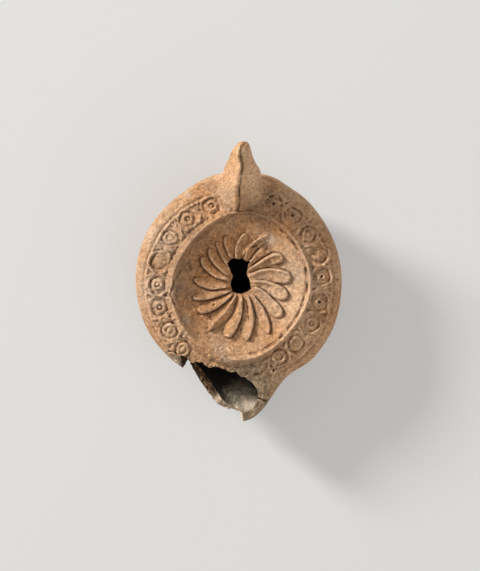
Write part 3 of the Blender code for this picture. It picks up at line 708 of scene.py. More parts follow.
def carving(x, y):
    """All the relief on the top, as height over the plain top."""
    petals = petal_relief(x, y) + strokes(x, y, ROSETTE_RIBS, 0.25) - strokes(x, y, ROSETTE_CUTS, 0.3)
    damage = strokes(x, y, CRUSTS, 0.35) + strokes(x, y, WORN_MARKS, 0.5)
    damage = damage - strokes(x, y, CRACKS, 0.3) - pit_relief(x, y)
    return petals + ring_relief(x, y) + ray_relief(x, y) + line_relief(x, y) + damage + clay_unevenness(x, y)


print(len(PETALS), "petals,", len(LEFT_RINGS + RIGHT_RINGS), "ring ornaments")

# %% [markdown]
# ## Turning and pressing the body
#
# A round form is quickest made as on a wheel: half its outline is drawn and spun. The rows of the spun
# mesh lie closest where the finest carving will be. Then the rows are pressed into the mould: each point
# keeps its row and its direction, and moves to where the plan and the relief put it. Only the spin's
# order is kept, so the mesh stays an even net of four-sided faces that follows the rim.

# %% Rows of the body
STEPS = 400
DISCUS_RADII = np.concatenate([
    [0, 1.6, 3.2], np.linspace(3.8, 22.6, 48), np.linspace(22.84, RIDGE_RADIUS, 16),
])
DISCUS_ROWS = DISCUS_RADII / RIDGE_RADIUS
SHOULDER_ROWS = np.linspace(0, 1, 21)[1:]
WALL_ROWS = np.linspace(1, 0, 8)[1:]
BOWL_ROWS = np.linspace(1, 0, 16)[1:]
BASE_ROWS = np.concatenate([np.linspace(1, 0.8, 6), [0.5, 0.34, 0.3, 0.26, 0.22, 0.1, 0]])
EDGE_ROUNDNESS = 2.3
SPUN_EDGE_HEIGHT, SPUN_RIDGE_HEIGHT = 20, 25  # the spun rows' own heights, which only tell them apart
ROW_TOLERANCE = 0.05


def body_rows():
    """(kind, value, radius, height) of each row, from the discus's centre to the base's."""
    rise = SPUN_RIDGE_HEIGHT - SPUN_EDGE_HEIGHT
    rows = [("discus", s, s * RIDGE_RADIUS, SPUN_EDGE_HEIGHT + rise * s) for s in DISCUS_ROWS]
    edge = BODY_RADIUS - EDGE_INSET
    width = edge - RIDGE_RADIUS
    rows += [("shoulder", s, RIDGE_RADIUS + width * s, SPUN_RIDGE_HEIGHT - rise * s) for s in SHOULDER_ROWS]
    for share in WALL_ROWS:
        radius = BODY_RADIUS - EDGE_INSET * share**EDGE_ROUNDNESS
        rows.append(("wall", share, radius, SEAM_HEIGHT + rise * share))
    for share in BOWL_ROWS:
        height = FOOT_HEIGHT + (SEAM_HEIGHT - FOOT_HEIGHT) * share
        rows.append(("bowl", height, float(lower_radius(math.pi / 2, height)), height))
    rows += [("base", share, FOOT_RADIUS * share, 0.0) for share in BASE_ROWS]
    return rows


def divided_rows(rows):
    """The rows, and one more halfway between each two on the shoulder."""
    more = []
    for above, below in zip(rows, rows[1:]):
        if below[0] == "shoulder":
            value = (below[1] + (above[1] if above[0] == "shoulder" else 0)) / 2
            more.append(("shoulder", value, (above[2] + below[2]) / 2, (above[3] + below[3]) / 2))
    return rows + more


def divide_shoulder(piece):
    """Cuts every face of the shoulder into four, since its ornaments are the finest work."""
    points = points_of(piece)
    radius = np.hypot(points[:, 0], points[:, 1])
    between = (radius > RIDGE_RADIUS - ROW_TOLERANCE) & (radius < BODY_RADIUS - EDGE_INSET + ROW_TOLERANCE)
    select_points(piece, between & (points[:, 2] > SPUN_EDGE_HEIGHT - 1))
    bpy.ops.mesh.select_mode(type="FACE")
    bpy.ops.mesh.subdivide(number_cuts=1)
    bpy.ops.mesh.select_mode(type="VERT")
    bpy.ops.object.mode_set(mode="OBJECT")


ROWS = body_rows()
lamp = turned_on_wheel("lamp", [row[2:] for row in ROWS], STEPS)
print(f"turned body: {len(ROWS)} rows of {STEPS}, {len(lamp.data.polygons)} faces")
divide_shoulder(lamp)
ROWS = divided_rows(ROWS)
print(f"with the shoulder divided: {len(lamp.data.polygons)} faces")

# %% Press the body into its mould
BASE_RINGS = ((16.4, 0.45, 0.5), (5.2, 0.35, 0.5))  # radius, depth, half width
BOWL_WEAR = 0.12


def rows_of(points, rows):
    """Which row each spun point lies in."""
    profile = np.array([row[2:] for row in rows])
    radius = np.hypot(points[:, 0], points[:, 1])
    sideways = np.abs(radius[:, None] - profile[None, :, 0])
    upwards = np.abs(points[:, 2][:, None] - profile[None, :, 1])
    return (sideways + upwards).argmin(axis=1)


def pressed(points, rows):
    """Where each point of the turned body goes."""
    row = rows_of(points, rows)
    kind = np.array([r[0] for r in rows])[row]
    value = np.array([r[1] for r in rows])[row]
    angle = np.arctan2(points[:, 1], points[:, 0])
    along = np.stack([np.cos(angle), np.sin(angle)], axis=1)
    ridge = np.array([DISCUS_X, DISCUS_Y]) + along * ridge_radius(angle)[:, None]
    edge = along * (outline_radius(angle) - EDGE_INSET)[:, None]
    made = np.zeros_like(points)
    at = kind == "discus"
    made[at, :2] = np.array([DISCUS_X, DISCUS_Y]) + along[at] * (value * ridge_radius(angle))[at, None]
    at = kind == "shoulder"
    made[at, :2] = (ridge + (edge - ridge) * value[:, None])[at]
    top = (kind == "discus") | (kind == "shoulder")
    x, y = made[top, 0], made[top, 1]
    made[top, 2] = plain_height(x, y) + carving(x, y)
    at = kind == "wall"
    edge_height = plain_height(edge[at, 0], edge[at, 1]) + carving(edge[at, 0], edge[at, 1])
    inset = EDGE_INSET * value[at] ** EDGE_ROUNDNESS
    made[at, :2] = along[at] * (outline_radius(angle[at]) - inset)[:, None]
    made[at, 2] = SEAM_HEIGHT + (edge_height - SEAM_HEIGHT) * value[at]
    at = kind == "bowl"
    worn = BOWL_WEAR * (1 + rough(8 * angle[at], value[at], 3.0, 41))
    made[at, :2] = along[at] * (lower_radius(angle[at], value[at]) - worn)[:, None]
    made[at, 2] = value[at]
    at = kind == "base"
    made[at, :2] = along[at] * (FOOT_RADIUS * value[at])[:, None]
    radius = FOOT_RADIUS * value[at]
    made[at, 2] = sum(depth * bump(radius - ring, width) for ring, depth, width in BASE_RINGS)
    return made


place_points(lamp, pressed(points_of(lamp), ROWS))
close_up(lamp)
points = points_of(lamp)
print(f"pressed body: {points.min(axis=0).round(1)} to {points.max(axis=0).round(1)} mm")

# %% [markdown]
# ## The handle
#
# The potter pinched a fin of clay and pared it with a knife: a flat facet on the left, a hollow one on
# the right, and a sharp crest between them that wanders a little. It could be carved from a block, but a
# sheet rolled round a row of sections gives the smooth change from one section to the next. The sheet is
# a grid whose one side runs round the fin and whose other runs from the ridge of the discus to the fin's
# tip.

# %% Sections of the handle
HANDLE_STATIONS = (
    # y, crest height and x; left: widest level, width; right: widest level, width, fullness; underside
    (25.2, 28.6, -1.4, 23.6, 3.0, 24.4, 5.0, 1.0, 21.5),
    (26.4, 30.0, -1.2, 23.2, 4.4, 24.6, 6.2, 0.9, 20.8),
    (28.4, 31.7, -0.6, 22.8, 5.8, 24.6, 7.0, 0.9, 19.8),
    (32.0, 35.0, -0.75, 21.2, 7.4, 23.2, 8.8, 0.85, 17.2),
    (36.6, 39.1, -0.3, 19.5, 8.0, 25.0, 9.2, 0.9, 14.3),
    (40.1, 42.0, 0.35, 22.0, 6.3, 34.0, 7.8, 1.2, 15.7),
    (42.7, 43.3, 0.3, 26.0, 4.9, 37.0, 6.1, 1.6, 18.6),
    (45.2, 43.8, 0.0, 30.0, 3.5, 39.3, 5.2, 1.8, 22.9),
    (47.5, 43.5, -0.3, 34.0, 2.3, 40.2, 4.9, 1.9, 27.2),
    (49.3, 42.4, 0.2, 36.0, 1.3, 39.8, 3.9, 2.0, 30.8),
    (50.3, 41.0, 1.0, 37.2, 1.1, 38.8, 2.6, 2.0, 33.7),
    (50.7, 39.4, 1.3, 37.7, 0.8, 38.3, 1.5, 2.0, 35.9),
)
HANDLE_AROUND = 84
HANDLE_ALONG = 84
WIDEST_SHARE = 0.34  # where the widest level lies on the way round from the crest
CREST_DROP = 0.22  # share of the right side that falls steeply below the crest
FACET_START, FACET_BEND = 0.10, 1.35  # how blunt the crest is on the left, and how hollow the facet
CREST_WANDER, CREST_WANDER_SIZE = 0.45, 1.9
CREST_CHIPS, SIDE_WAVES = 0.2, 0.3


def along_handle(share):
    """The station's numbers at shares of the fin's length, rounded where they bend."""
    table = np.array(HANDLE_STATIONS)
    steps = np.linspace(0, 1, len(table))
    fine = np.linspace(0, 1, 401)
    curves = []
    for column in table.T:
        values = np.interp(fine, steps, column)
        padded = np.pad(values, 20, mode="reflect", reflect_type="odd")
        curves.append(np.interp(share, fine, np.convolve(padded, np.hanning(43)[1:-1] / 21, mode="valid")))
    return curves


def fin_point(share, around):
    """Point of the fin; around runs from the crest (0) by the right to the underside (0.5) and back (1)."""
    y, crest, crest_x, left_level, left, right_level, right, fullness, under = along_handle(share)
    on_right = around < 0.5
    level = np.where(on_right, right_level, left_level)
    way = np.minimum(around, 1 - around)
    upper = np.clip(way / WIDEST_SHARE, 0, 1) ** 1.3
    lower = np.clip((way - WIDEST_SHARE) / (0.5 - WIDEST_SHARE), 0, 1)
    height = crest - (crest - level) * upper - (level - under) * np.sin(lower * math.pi / 2)
    facet = FACET_START * ramp(upper, 0, 0.03) + (1 - FACET_START) * upper**FACET_BEND
    fall = (crest - level) * upper
    drop = CREST_DROP * (crest - level)
    past_crest = np.clip((fall - drop) / (crest - level - drop), 0, 1)
    crest_side = 0.05 * ramp(fall, 0, 0.3) + 0.13 * np.clip(fall / drop, 0, 1)
    hollow = crest_side + 0.82 * past_crest ** (1 / fullness)
    x = np.where(on_right, right * hollow, -left * facet) * np.cos(lower * math.pi / 2)
    return np.stack([crest_x + x, y, height], axis=-1)


def crest_shift(y):
    """How far the crest wanders sideways."""
    return CREST_WANDER * rough(y, y * 0, CREST_WANDER_SIZE, 51)


# %% Roll the sheet into the fin
bpy.ops.mesh.primitive_grid_add(x_subdivisions=HANDLE_AROUND, y_subdivisions=HANDLE_ALONG, size=2)
fin = bpy.context.active_object
fin.name = "fin"
flat = points_of(fin) * MM
around = (flat[:, 0] + 1) / 2
share = (flat[:, 1] + 1) / 2
shaped = fin_point(share, around)
crestness = bump(np.minimum(around, 1 - around), 0.06)
shaped[:, 0] += crestness * crest_shift(shaped[:, 1])
chipped = CREST_CHIPS * (1 + rough(shaped[:, 1], shaped[:, 1] * 0, 1.8, 52))
shaped[:, 2] -= crestness * chipped * (share < 0.98)
shaped[:, 0] += SIDE_WAVES * rough(shaped[:, 1], shaped[:, 2], 2.4, 54)
place_points(fin, shaped)
close_up(fin)
take_up(fin)
bpy.ops.object.mode_set(mode="EDIT")
bpy.ops.mesh.select_all(action="DESELECT")
bpy.ops.mesh.select_non_manifold()
bpy.ops.mesh.fill()
bpy.ops.object.mode_set(mode="OBJECT")
close_up(fin)
print(f"fin: {len(fin.data.polygons)} faces")

# %% [markdown]
# ## The hollow
#
# A lamp is a vessel, so it has a true inside: a second form is turned, a wall's thickness smaller, and
# cut away.

# %% Turn the hollow
TOP_WALL, SIDE_WALL, FLOOR_WALL = 3.0, 3.0, 3.4
HOLLOW_STEPS = 160
CEILING_ROWS = np.linspace(0, 1, 15)
FLOOR_ROWS = np.linspace(1, 0, 14)


def hollow_rows():
    """(kind, value, radius, height) of each row; the spun sizes only tell the rows apart."""
    rows = [("ceiling", share, share * 36, 20.0) for share in CEILING_ROWS]
    rows += [("floor", share, 24 + 12 * share, 4 + 11 * share) for share in FLOOR_ROWS]
    return rows + [("middle", share, 24 * share, 3.4) for share in (0.75, 0.5, 0.25, 0)]


def hollowed(points, rows):
    row = rows_of(points, rows)
    kind = np.array([r[0] for r in rows])[row]
    value = np.array([r[1] for r in rows])[row]
    angle = np.arctan2(points[:, 1], points[:, 0])
    along = np.stack([np.cos(angle), np.sin(angle)], axis=1)
    made = np.zeros_like(points)
    uneven = 0.25 * rough(points[:, 0] + 60, points[:, 1] + points[:, 2], 4.0, 61)
    at = kind == "ceiling"
    made[at, :2] = along[at] * ((outline_radius(angle) - SIDE_WALL) * value)[at, None]
    made[at, 2] = plain_height(made[at, 0], made[at, 1]) - TOP_WALL
    at = kind != "ceiling"
    height = np.where(kind == "floor", FLOOR_WALL + (SEAM_HEIGHT - FLOOR_WALL) * value, FLOOR_WALL)
    below = np.maximum(height - 0.6 * FLOOR_WALL, FOOT_HEIGHT)
    radius = np.minimum(lower_radius(angle, below) - 0.8 * SIDE_WALL, outline_radius(angle) - SIDE_WALL)
    radius = np.where(kind == "middle", radius * value, radius)
    made[at, :2] = along[at] * radius[at, None]
    made[at, 2] = height[at]
    return made + np.column_stack([along * uneven[:, None], uneven])


HOLLOW_ROWS = hollow_rows()
hollow = turned_on_wheel("hollow", [row[2:] for row in HOLLOW_ROWS], HOLLOW_STEPS)
place_points(hollow, hollowed(points_of(hollow), HOLLOW_ROWS))
close_up(hollow)
print(f"hollow: {len(hollow.data.polygons)} faces")

# %% [markdown]
# ## Holes and the break
#
# The wick hole is a plain round hole. The filling hole was round too, but its far side is torn open. The
# break took all that lay outside a ragged edge, down to an uneven ledge where the lower half's wall
# still stands. Each is a cutter: its outline is drawn, extruded upwards in short steps, and its walls
# are roughened, because old broken clay is granular.

# %% Outlines of the holes and of the break
FILLING_OUTLINE = (
    (-4.3, 5.6), (-3.3, 6.8), (-2.1, 7.7), (-0.9, 7.3), (0.6, 7.2), (1.1, 7.9), (1.7, 7.1),
    (2.8, 6.3), (4.0, 6.3), (4.4, 5.9), (3.6, 5.0), (3.4, 3.7), (3.1, 1.5), (3.9, -0.2),
    (4.4, -2.3), (4.6, -3.9), (3.2, -5.3), (1.1, -5.9), (-0.9, -5.7), (-2.3, -5.0), (-3.0, -3.3),
    (-3.0, -1.6), (-2.5, 0.1), (-2.3, 1.0), (-2.8, 2.0), (-3.6, 3.7),
)
BREAK_EDGE = (
    (-40.0, -27.0), (-27.5, -27.6), (-25.9, -28.3), (-22.3, -29.6), (-21.3, -28.8), (-20.2, -29.2),
    (-19.1, -30.4), (-18.2, -31.3), (-17.3, -32.0), (-16.2, -31.2), (-15.1, -31.9), (-13.6, -31.6),
    (-12.6, -32.9), (-11.0, -33.6), (-9.1, -33.2), (-7.0, -33.5), (-5.2, -34.3), (-4.0, -35.1),
    (-2.3, -35.5), (-0.9, -34.9), (-0.1, -36.1), (0.9, -37.1), (2.3, -37.5),
)
# x along the break, and how high the wall below it still stands
LEDGE = (
    (-30.0, 19.5), (-25.5, 19.0), (-22.6, 18.2), (-21.4, 16.5), (-20.6, 12.5), (-19.4, 9.8), (-17.5, 11.2),
    (-16.0, 12.6), (-14.2, 13.8), (-11.4, 14.4), (-9.1, 14.2), (-7.4, 14.0), (-5.6, 13.6), (-3.6, 13.0),
    (-2.0, 12.5),
)
FRACTURE_TOP = ((1.6, -50.8), (2.3, -54.6))
FRONT_WALL = (-44.0, -46.0)  # y where the ledge turns into the front wall
LEDGE_LIP, CHANNEL_FLOOR = 0.6, 12.0
INSIDE_RISE, INSIDE_START, INSIDE_END = 3.0, 0.6, 1.8  # past the wall the cut rises and spares the floor
LEDGE_TILT = 0.45  # how steeply the broken wall falls inwards
FRACTURE_RUN = 1.1  # how far the fracture through the front wall leans to the left on its way down
BREAK_COLUMNS, BREAK_ROWS = 150, 56
LOSS_LEFT, LOSS_RIGHT, LOSS_FRONT = -31.0, 2.9, -58.0
EDGE_RAGGEDNESS, LEDGE_RAGGEDNESS = 0.38, 0.8
LOSS_STEPS, LOSS_STEP, LOSS_LIFT = 24, 0.7, 15
CUT_TOP = 27.0  # above the shoulder, for both holes


def drawn_outline(name, outline, spacing):
    """A closed flat outline, divided into short sides and filled."""
    closed = np.array(list(outline) + [outline[0]])
    lengths = np.concatenate([[0], np.cumsum(np.linalg.norm(np.diff(closed, axis=0), axis=1))])
    marks = np.linspace(0, lengths[-1], int(lengths[-1] / spacing), endpoint=False)
    x, y = np.interp(marks, lengths, closed[:, 0]), np.interp(marks, lengths, closed[:, 1])
    bpy.ops.mesh.primitive_circle_add(vertices=len(marks), radius=MM, fill_type="NGON")
    made = bpy.context.active_object
    made.name = name
    place_points(made, np.column_stack([x, y, np.zeros_like(x)]))
    return made


def raised(piece, low, high, steps):
    """Lifts a flat face to a height and draws it up in short steps, so that its wall has rows to roughen."""
    take_up(piece)
    place_points(piece, points_of(piece) + np.array([0, 0, low]))
    bpy.ops.object.mode_set(mode="EDIT")
    bpy.ops.mesh.select_all(action="SELECT")
    for _ in range(steps):
        bpy.ops.mesh.extrude_region_move(TRANSFORM_OT_translate={"value": (0, 0, (high - low) / steps * MM)})
    close_up(piece)


def roughen(piece, amount, size, seed):
    """Moves points sideways by a grain that changes over a size."""
    points = points_of(piece)
    x, y, z = points.T
    points[:, 0] += amount * rough(y + 0.7 * z, z - 0.4 * x, size, seed)
    points[:, 1] += amount * rough(x + 0.7 * z, z + 0.4 * y, size, seed + 7)
    place_points(piece, points)


filling = drawn_outline("filling hole", FILLING_OUTLINE, 0.35)
raised(filling, 12.0, CUT_TOP, 30)
roughen(filling, 0.35, 1.1, 71)
wick = drawn_outline("wick hole", [
    (WICK_X + WICK_RADIUS * math.cos(a), WICK_Y + WICK_RADIUS * math.sin(a))
    for a in np.linspace(0, FULL_TURN, 96, endpoint=False)
], 0.4)
raised(wick, BAND_HEIGHT - BAND_DROP - TOP_WALL, CUT_TOP, 14)
roughen(wick, 0.12, 1.6, 73)
print("holes:", len(filling.data.polygons), "and", len(wick.data.polygons), "faces")

# %% The break's cutter
def ledge_height(x, y):
    """Height of the broken wall, with the leaning fracture through the front wall at the tip."""
    along = np.interp(x, *np.array(LEDGE).T)
    (top_x, top_y), (tip_x, tip_y) = FRACTURE_TOP
    face_x = top_x + (y - top_y) * (tip_x - top_x) / (tip_y - top_y)
    lean = np.clip((x - face_x + FRACTURE_RUN) / FRACTURE_RUN, 0, 1.6)
    front = ramp(y, *FRONT_WALL)
    inset = outline_radius(np.arctan2(y, x)) - np.hypot(x, y)
    tilt = LEDGE_TILT * np.clip(inset - LEDGE_LIP, 0, SIDE_WALL) * (1 - front)
    inside = INSIDE_RISE * ramp(inset, SIDE_WALL + INSIDE_START, SIDE_WALL + INSIDE_END)
    return along + front * lean * (BAND_HEIGHT - CHANNEL_FLOOR) - tilt + inside


bpy.ops.mesh.primitive_grid_add(x_subdivisions=BREAK_COLUMNS, y_subdivisions=BREAK_ROWS, size=2)
loss = bpy.context.active_object
loss.name = "loss"
flat = points_of(loss) * MM
edge_x, edge_y = np.array(BREAK_EDGE).T
x = LOSS_LEFT + (LOSS_RIGHT - LOSS_LEFT) * (flat[:, 0] + 1) / 2
top_y = np.interp(x, edge_x, edge_y) + EDGE_RAGGEDNESS * rough(x, x * 0, 1.2, 81)
y = LOSS_FRONT + (top_y - LOSS_FRONT) * (flat[:, 1] + 1) / 2
z = ledge_height(x, y) + LEDGE_RAGGEDNESS * rough(x, y, 1.3, 82)
place_points(loss, np.column_stack([x, y, z]))
take_up(loss)
bpy.ops.object.mode_set(mode="EDIT")
bpy.ops.mesh.select_all(action="SELECT")
for _ in range(LOSS_STEPS):
    bpy.ops.mesh.extrude_region_move(TRANSFORM_OT_translate={"value": (0, 0, LOSS_STEP * MM)})
bpy.ops.mesh.extrude_region_move(TRANSFORM_OT_translate={"value": (0, 0, LOSS_LIFT * MM)})
close_up(loss)
roughen(loss, 0.3, 1.2, 84)
print("loss:", len(loss.data.polygons), "faces")

# %% [markdown]
# ## Joining and cutting
#
# Blender's Boolean modifiers join the fin to the body and cut the rest away. Each cutter carries its own
# material, which the new faces keep: skin outside, sooted clay inside that is further painted black as
# shade where no light falls, and a coarse dark grain on broken sections. After the fin is joined, the
# seam round its foot is smoothed, as a wet thumb would.

# %% Materials on the parts, whose colours are mixed further below
skin, skin_nodes, _, skin_shader = plain_material("lamp skin", (0.5, 0.3, 0.18), 0.85)
inside, inside_nodes, _, inside_shader = plain_material("lamp inside", (0.05, 0.04, 0.03), 0.95)
section, section_nodes, _, section_shader = plain_material("broken section", (0.5, 0.35, 0.24), 0.95)
for piece, material in (
    (lamp, skin), (fin, skin), (hollow, inside), (filling, section), (wick, inside), (loss, section),
):
    piece.data.materials.append(material)
    piece.data.polygons.foreach_set("material_index", [0] * len(piece.data.polygons))


def combine(piece, other, operation):
    """Joins a shape to the piece or cuts it away, and removes that shape."""
    take_up(piece)
    modifier = piece.modifiers.new(other.name, "BOOLEAN")
    modifier.operation = operation
    modifier.object = other
    modifier.solver = "MANIFOLD"
    modifier.material_mode = "TRANSFER"
    bpy.ops.object.modifier_apply(modifier=modifier.name)
    bpy.data.objects.remove(other, do_unlink=True)
    print(f"{operation.lower()}: {len(piece.data.polygons)} faces")


# %% Join the fin and smooth its foot
THUMB_REACH, THUMB_PASSES = 3.4, 100
FOOT_BEHIND, FOOT_BESIDE, FOOT_ABOVE = 22, 14, 12  # the box round the foot, in y, x and z
RIDGE_KEPT = 0.9  # how far outside the ridge the thumb begins
PLAIN_RELIEF, FIN_ABOVE = 0.12, 26  # relief that counts as none, and the height where only the fin is left


def nearness(points, others):
    """Distance from each point to the nearest of the others."""
    tree = KDTree(len(others))
    for i, other in enumerate(others):
        tree.insert(other, i)
    tree.balance()
    return np.array([tree.find(point)[2] for point in points])


def smooth_foot(piece, body_points, fin_points, reach, passes):
    """Relaxes the points near the line where the fin meets the shoulder."""
    points = points_of(piece)
    x, y, z = points.T
    from_x, from_y = x - DISCUS_X, y - DISCUS_Y
    past_ridge = np.hypot(from_x, from_y) - ridge_radius(np.arctan2(from_y, from_x))
    beside_fin = (y > FOOT_BEHIND) & (np.abs(x) < FOOT_BESIDE) & (z > FOOT_ABOVE) & (past_ridge > RIDGE_KEPT)
    plain = np.abs(ring_relief(x, y) + ray_relief(x, y)) < PLAIN_RELIEF
    found = np.flatnonzero(beside_fin & (plain | (z > FIN_ABOVE)))
    from_seam = np.maximum(nearness(points[found], body_points), nearness(points[found], fin_points))
    chosen = np.zeros(len(points), dtype=bool)
    chosen[found[from_seam < reach]] = True
    select_points(piece, chosen)
    bpy.ops.mesh.vertices_smooth(factor=0.5, repeat=passes)
    bpy.ops.object.mode_set(mode="OBJECT")
    return int(chosen.sum())


fin_points, body_points = points_of(fin), points_of(lamp)
fin_points = fin_points[fin_points[:, 2] > FOOT_ABOVE]
body_points = body_points[(body_points[:, 1] > FOOT_BEHIND - 2) & (body_points[:, 2] > FOOT_ABOVE)]
combine(lamp, fin, "UNION")
smoothed_points = smooth_foot(lamp, body_points, fin_points, THUMB_REACH, THUMB_PASSES)
print("smoothed at the fin's foot:", smoothed_points, "points")

# %% Hollow, holes and break
combine(lamp, hollow, "DIFFERENCE")
combine(lamp, filling, "DIFFERENCE")
combine(lamp, wick, "DIFFERENCE")
combine(lamp, loss, "DIFFERENCE")
close_up(lamp, 0.01)
take_up(lamp)
bpy.ops.object.shade_smooth_by_angle(angle=math.radians(50))
triangles = sum(len(face.vertices) - 2 for face in lamp.data.polygons)
print("lamp:", len(lamp.data.polygons), "faces,", triangles, "triangles")

# %% [markdown]
# ## Where the colours lie
#
# The clay fired unevenly, was stained by oil and earth, and was cleaned by rubbing. Dirt stays in the
# hollows and is darkened further as painted shade, raised edges are rubbed pale and lightened further as
# painted highlight, the nozzle is grey from the flame. Painted shade also lies beside the handle's foot,
# warm painted bounce light on the shaded slopes, painted light on the shaded right side and the handle's
# right face, and painted light and black painted shade inside the nozzle. Each of these is worked out
# once for every point of the lamp and kept with the mesh, so the materials can ask for it by name.

# %% Measure the relief and mark the stains, painted light and painted shade
RELIEF_REACH = 0.8
ON_SKIN = 0.3  # how near the carved top a point counts as part of it
CHANNEL_LIGHT, CHANNEL_FRONT = (2.4, -46.0), (5.0, -49.0)  # where light falls into the nozzle
# x, y, radius, strength of each mark: real stains, and in three kinds painted shade and light as well
STAINS_AND_PAINTED_LIGHT = {
    # dark clay blotches, and painted shade beside the handle's foot and on the shoulder right of it
    "dark_and_shade": (
        (-21.0, 6.0, 7.0, 0.6), (-15.5, 15.5, 6.0, 0.7), (-22.5, -4.0, 4.0, 0.6), (-4.0, 22.5, 5.0, 0.3),
        (8.0, 27.5, 3.0, 0.45), (-18.0, -8.0, 7.0, 0.3), (5.0, 23.8, 3.5, 0.4), (-8.0, -31.0, 3.0, 0.25),
        (28.0, 19.0, 5.0, 0.15), (-14.0, -15.0, 6.0, 0.3), (12.0, 31.0, 4.0, 0.4), (4.5, 25.4, 3.0, 0.75),
        (-5.3, -29.6, 0.9, 0.9), (10.5, -49.5, 2.4, 0.85), (6.5, -52.2, 2.0, 0.85),
        (2.8, -53.4, 2.2, 0.95),
    ),
    # warmer clay, and warm painted bounce light on the shaded discus slope, lower right shoulder and handle
    "warm_and_bounce_light": (
        (15.5, 18.5, 5.0, 0.95), (-16.0, -13.0, 9.0, 0.8), (-9.0, 13.0, 8.0, 0.7), (-1.5, 44.0, 6.0, 0.4),
        (-12.0, 4.0, 9.0, 0.85), (2.0, 20.0, 6.0, 0.4), (29.0, -22.0, 5.0, 0.3), (-31.0, -24.0, 5.0, 0.4),
        (5.0, 38.0, 6.0, 0.4), (25.0, -27.0, 6.0, 0.4), (34.0, -14.0, 5.0, 0.25), (0.0, -20.0, 8.0, 0.25),
    ),
    "pale": (
        (-4.0, 31.0, 5.0, 0.2), (-31.0, -4.0, 8.0, 0.5), (-28.0, 15.0, 8.0, 0.45),
        (12.0, -6.0, 7.0, 0.35), (12.1, 14.4, 1.8, 0.85), (-7.0, -26.5, 3.0, 0.35),
        (21.0, 1.0, 6.0, 0.55), (20.0, -12.0, 6.0, 0.3), (-19.3, 31.2, 1.4, 0.6), (17.8, 34.0, 1.0, 0.6),
        (20.8, 31.5, 1.0, 0.5), (-5.1, -30.0, 1.4, 0.6), (-24.0, -18.0, 6.0, 0.3),
        (-19.8, -16.0, 2.0, 0.6),
    ),
    # paler clay, and painted light that lifts the shaded slopes on the right and the handle's right face
    "buff_and_painted_light": (
        (30.0, -4.0, 5.0, 0.5), (19.0, 29.0, 7.0, 0.5), (5.0, 38.0, 7.0, 0.95), (3.0, 46.0, 4.0, 0.8),
        (20.0, -8.0, 9.0, 0.55), (36.0, 2.0, 7.0, 0.4), (26.0, 22.0, 7.0, 0.4), (24.0, -22.0, 8.0, 0.6),
        (12.0, -34.0, 6.0, 0.35), (17.0, 10.0, 7.0, 0.4),
    ),
}


def top_relief(x, y, reach):
    """How far each point stands above what lies round it within a reach, from the carving alone."""
    directions = np.linspace(0, FULL_TURN, 8, endpoint=False)
    round_about = [carving(x + reach * math.cos(a), y + reach * math.sin(a)) for a in directions]
    return carving(x, y) - sum(round_about) / len(round_about)


def keep(piece, name, values):
    """Stores one number for every point of the mesh under a name."""
    attribute = piece.data.attributes.new(name, "FLOAT", "POINT")
    attribute.data.foreach_set("value", np.asarray(values, dtype=np.float32))


def crest_wear_and_shade(x, y, z):
    """Rubbed crest of the handle with painted highlight, and dirt and painted shade in the cut beside it."""
    table = np.array(HANDLE_STATIONS)
    crest_x = np.interp(y, table[:, 0], table[:, 2]) + crest_shift(y)
    near = (y > table[0, 0] - 0.5) * ramp(np.interp(y, table[:, 0], table[:, 1]) - z, 3.0, 1.5)
    ragged = 1 + 0.8 * rough(y, x, 1.4, 55)
    rubbed = 0.3 * bump(x - crest_x + 0.2, 0.5)
    # painted shade in the cut right of the crest, where its steep side turns from the light, with dirt
    dirt_and_shade = 0.85 * bump(x - crest_x - 1.0, 0.55)
    return near * ragged * (rubbed - dirt_and_shade)


points = points_of(lamp)
x, y, z = points.T
on_top = np.abs(z - plain_height(x, y) - carving(x, y)) < ON_SKIN
on_crest = crest_wear_and_shade(x, y, z)
keep(lamp, "relief", np.where(on_top, top_relief(x, y, RELIEF_REACH), on_crest))
for kind, stains in STAINS_AND_PAINTED_LIGHT.items():
    mask = np.zeros_like(x)
    for mark_x, mark_y, radius, strength in stains:
        ragged = 1 + 0.45 * rough(x, y, 0.5 * radius + 0.5, 91)
        mask = np.maximum(mask, strength * bump(np.hypot(x - mark_x, y - mark_y) * ragged, radius))
    if kind == "warm_and_bounce_light":
        mask = np.maximum(mask, 0.9 * ramp(on_crest, 0.02, 0.2) + 0.9 * ramp(on_crest, -0.05, -0.3))
    keep(lamp, kind, mask)
from_wick = np.hypot(x - WICK_X, y - WICK_Y)
keep(lamp, "soot", ramp(from_wick + 2.5 * rough(x, y, 4.0, 93), 19, 6) * ramp(x, -9, 0))
# Inside the nozzle light and shade are painted: lit ash where light falls in, painted black shade away from
# it.
from_channel = np.hypot(x - CHANNEL_LIGHT[0], y - CHANNEL_LIGHT[1])
keep(lamp, "channel", ramp(from_channel + 1.2 * rough(x, y, 2.5, 95), 10.0, 3.0))
keep(lamp, "bright", 0.6 * ramp(np.hypot(x - CHANNEL_FRONT[0], y - CHANNEL_FRONT[1]), 6.0, 1.5))
fresh_chip = ramp(x, -21.3, -22.3)
fresh_front = ramp(x, -2.6, -1.6) * ramp(y, -45, -46.5)
keep(lamp, "fresh", np.maximum(np.maximum(fresh_chip, fresh_front), 0.75 * ramp(y, -42, -45)))
print("relief, stains, soot and fresh breaks on", len(points), "points")

# %% [markdown]
# ## Clay tones
#
# One shared group of nodes makes the unevenness that all fired clay has, at five sizes: broad flushes of
# firing, patches, grain, dark grit and pale flecks. Another group turns relief into dirt with painted
# shade in the hollows, and into wear with a painted highlight on raised edges. Both give colours and masks
# only, and each material feeds them to its own shader.

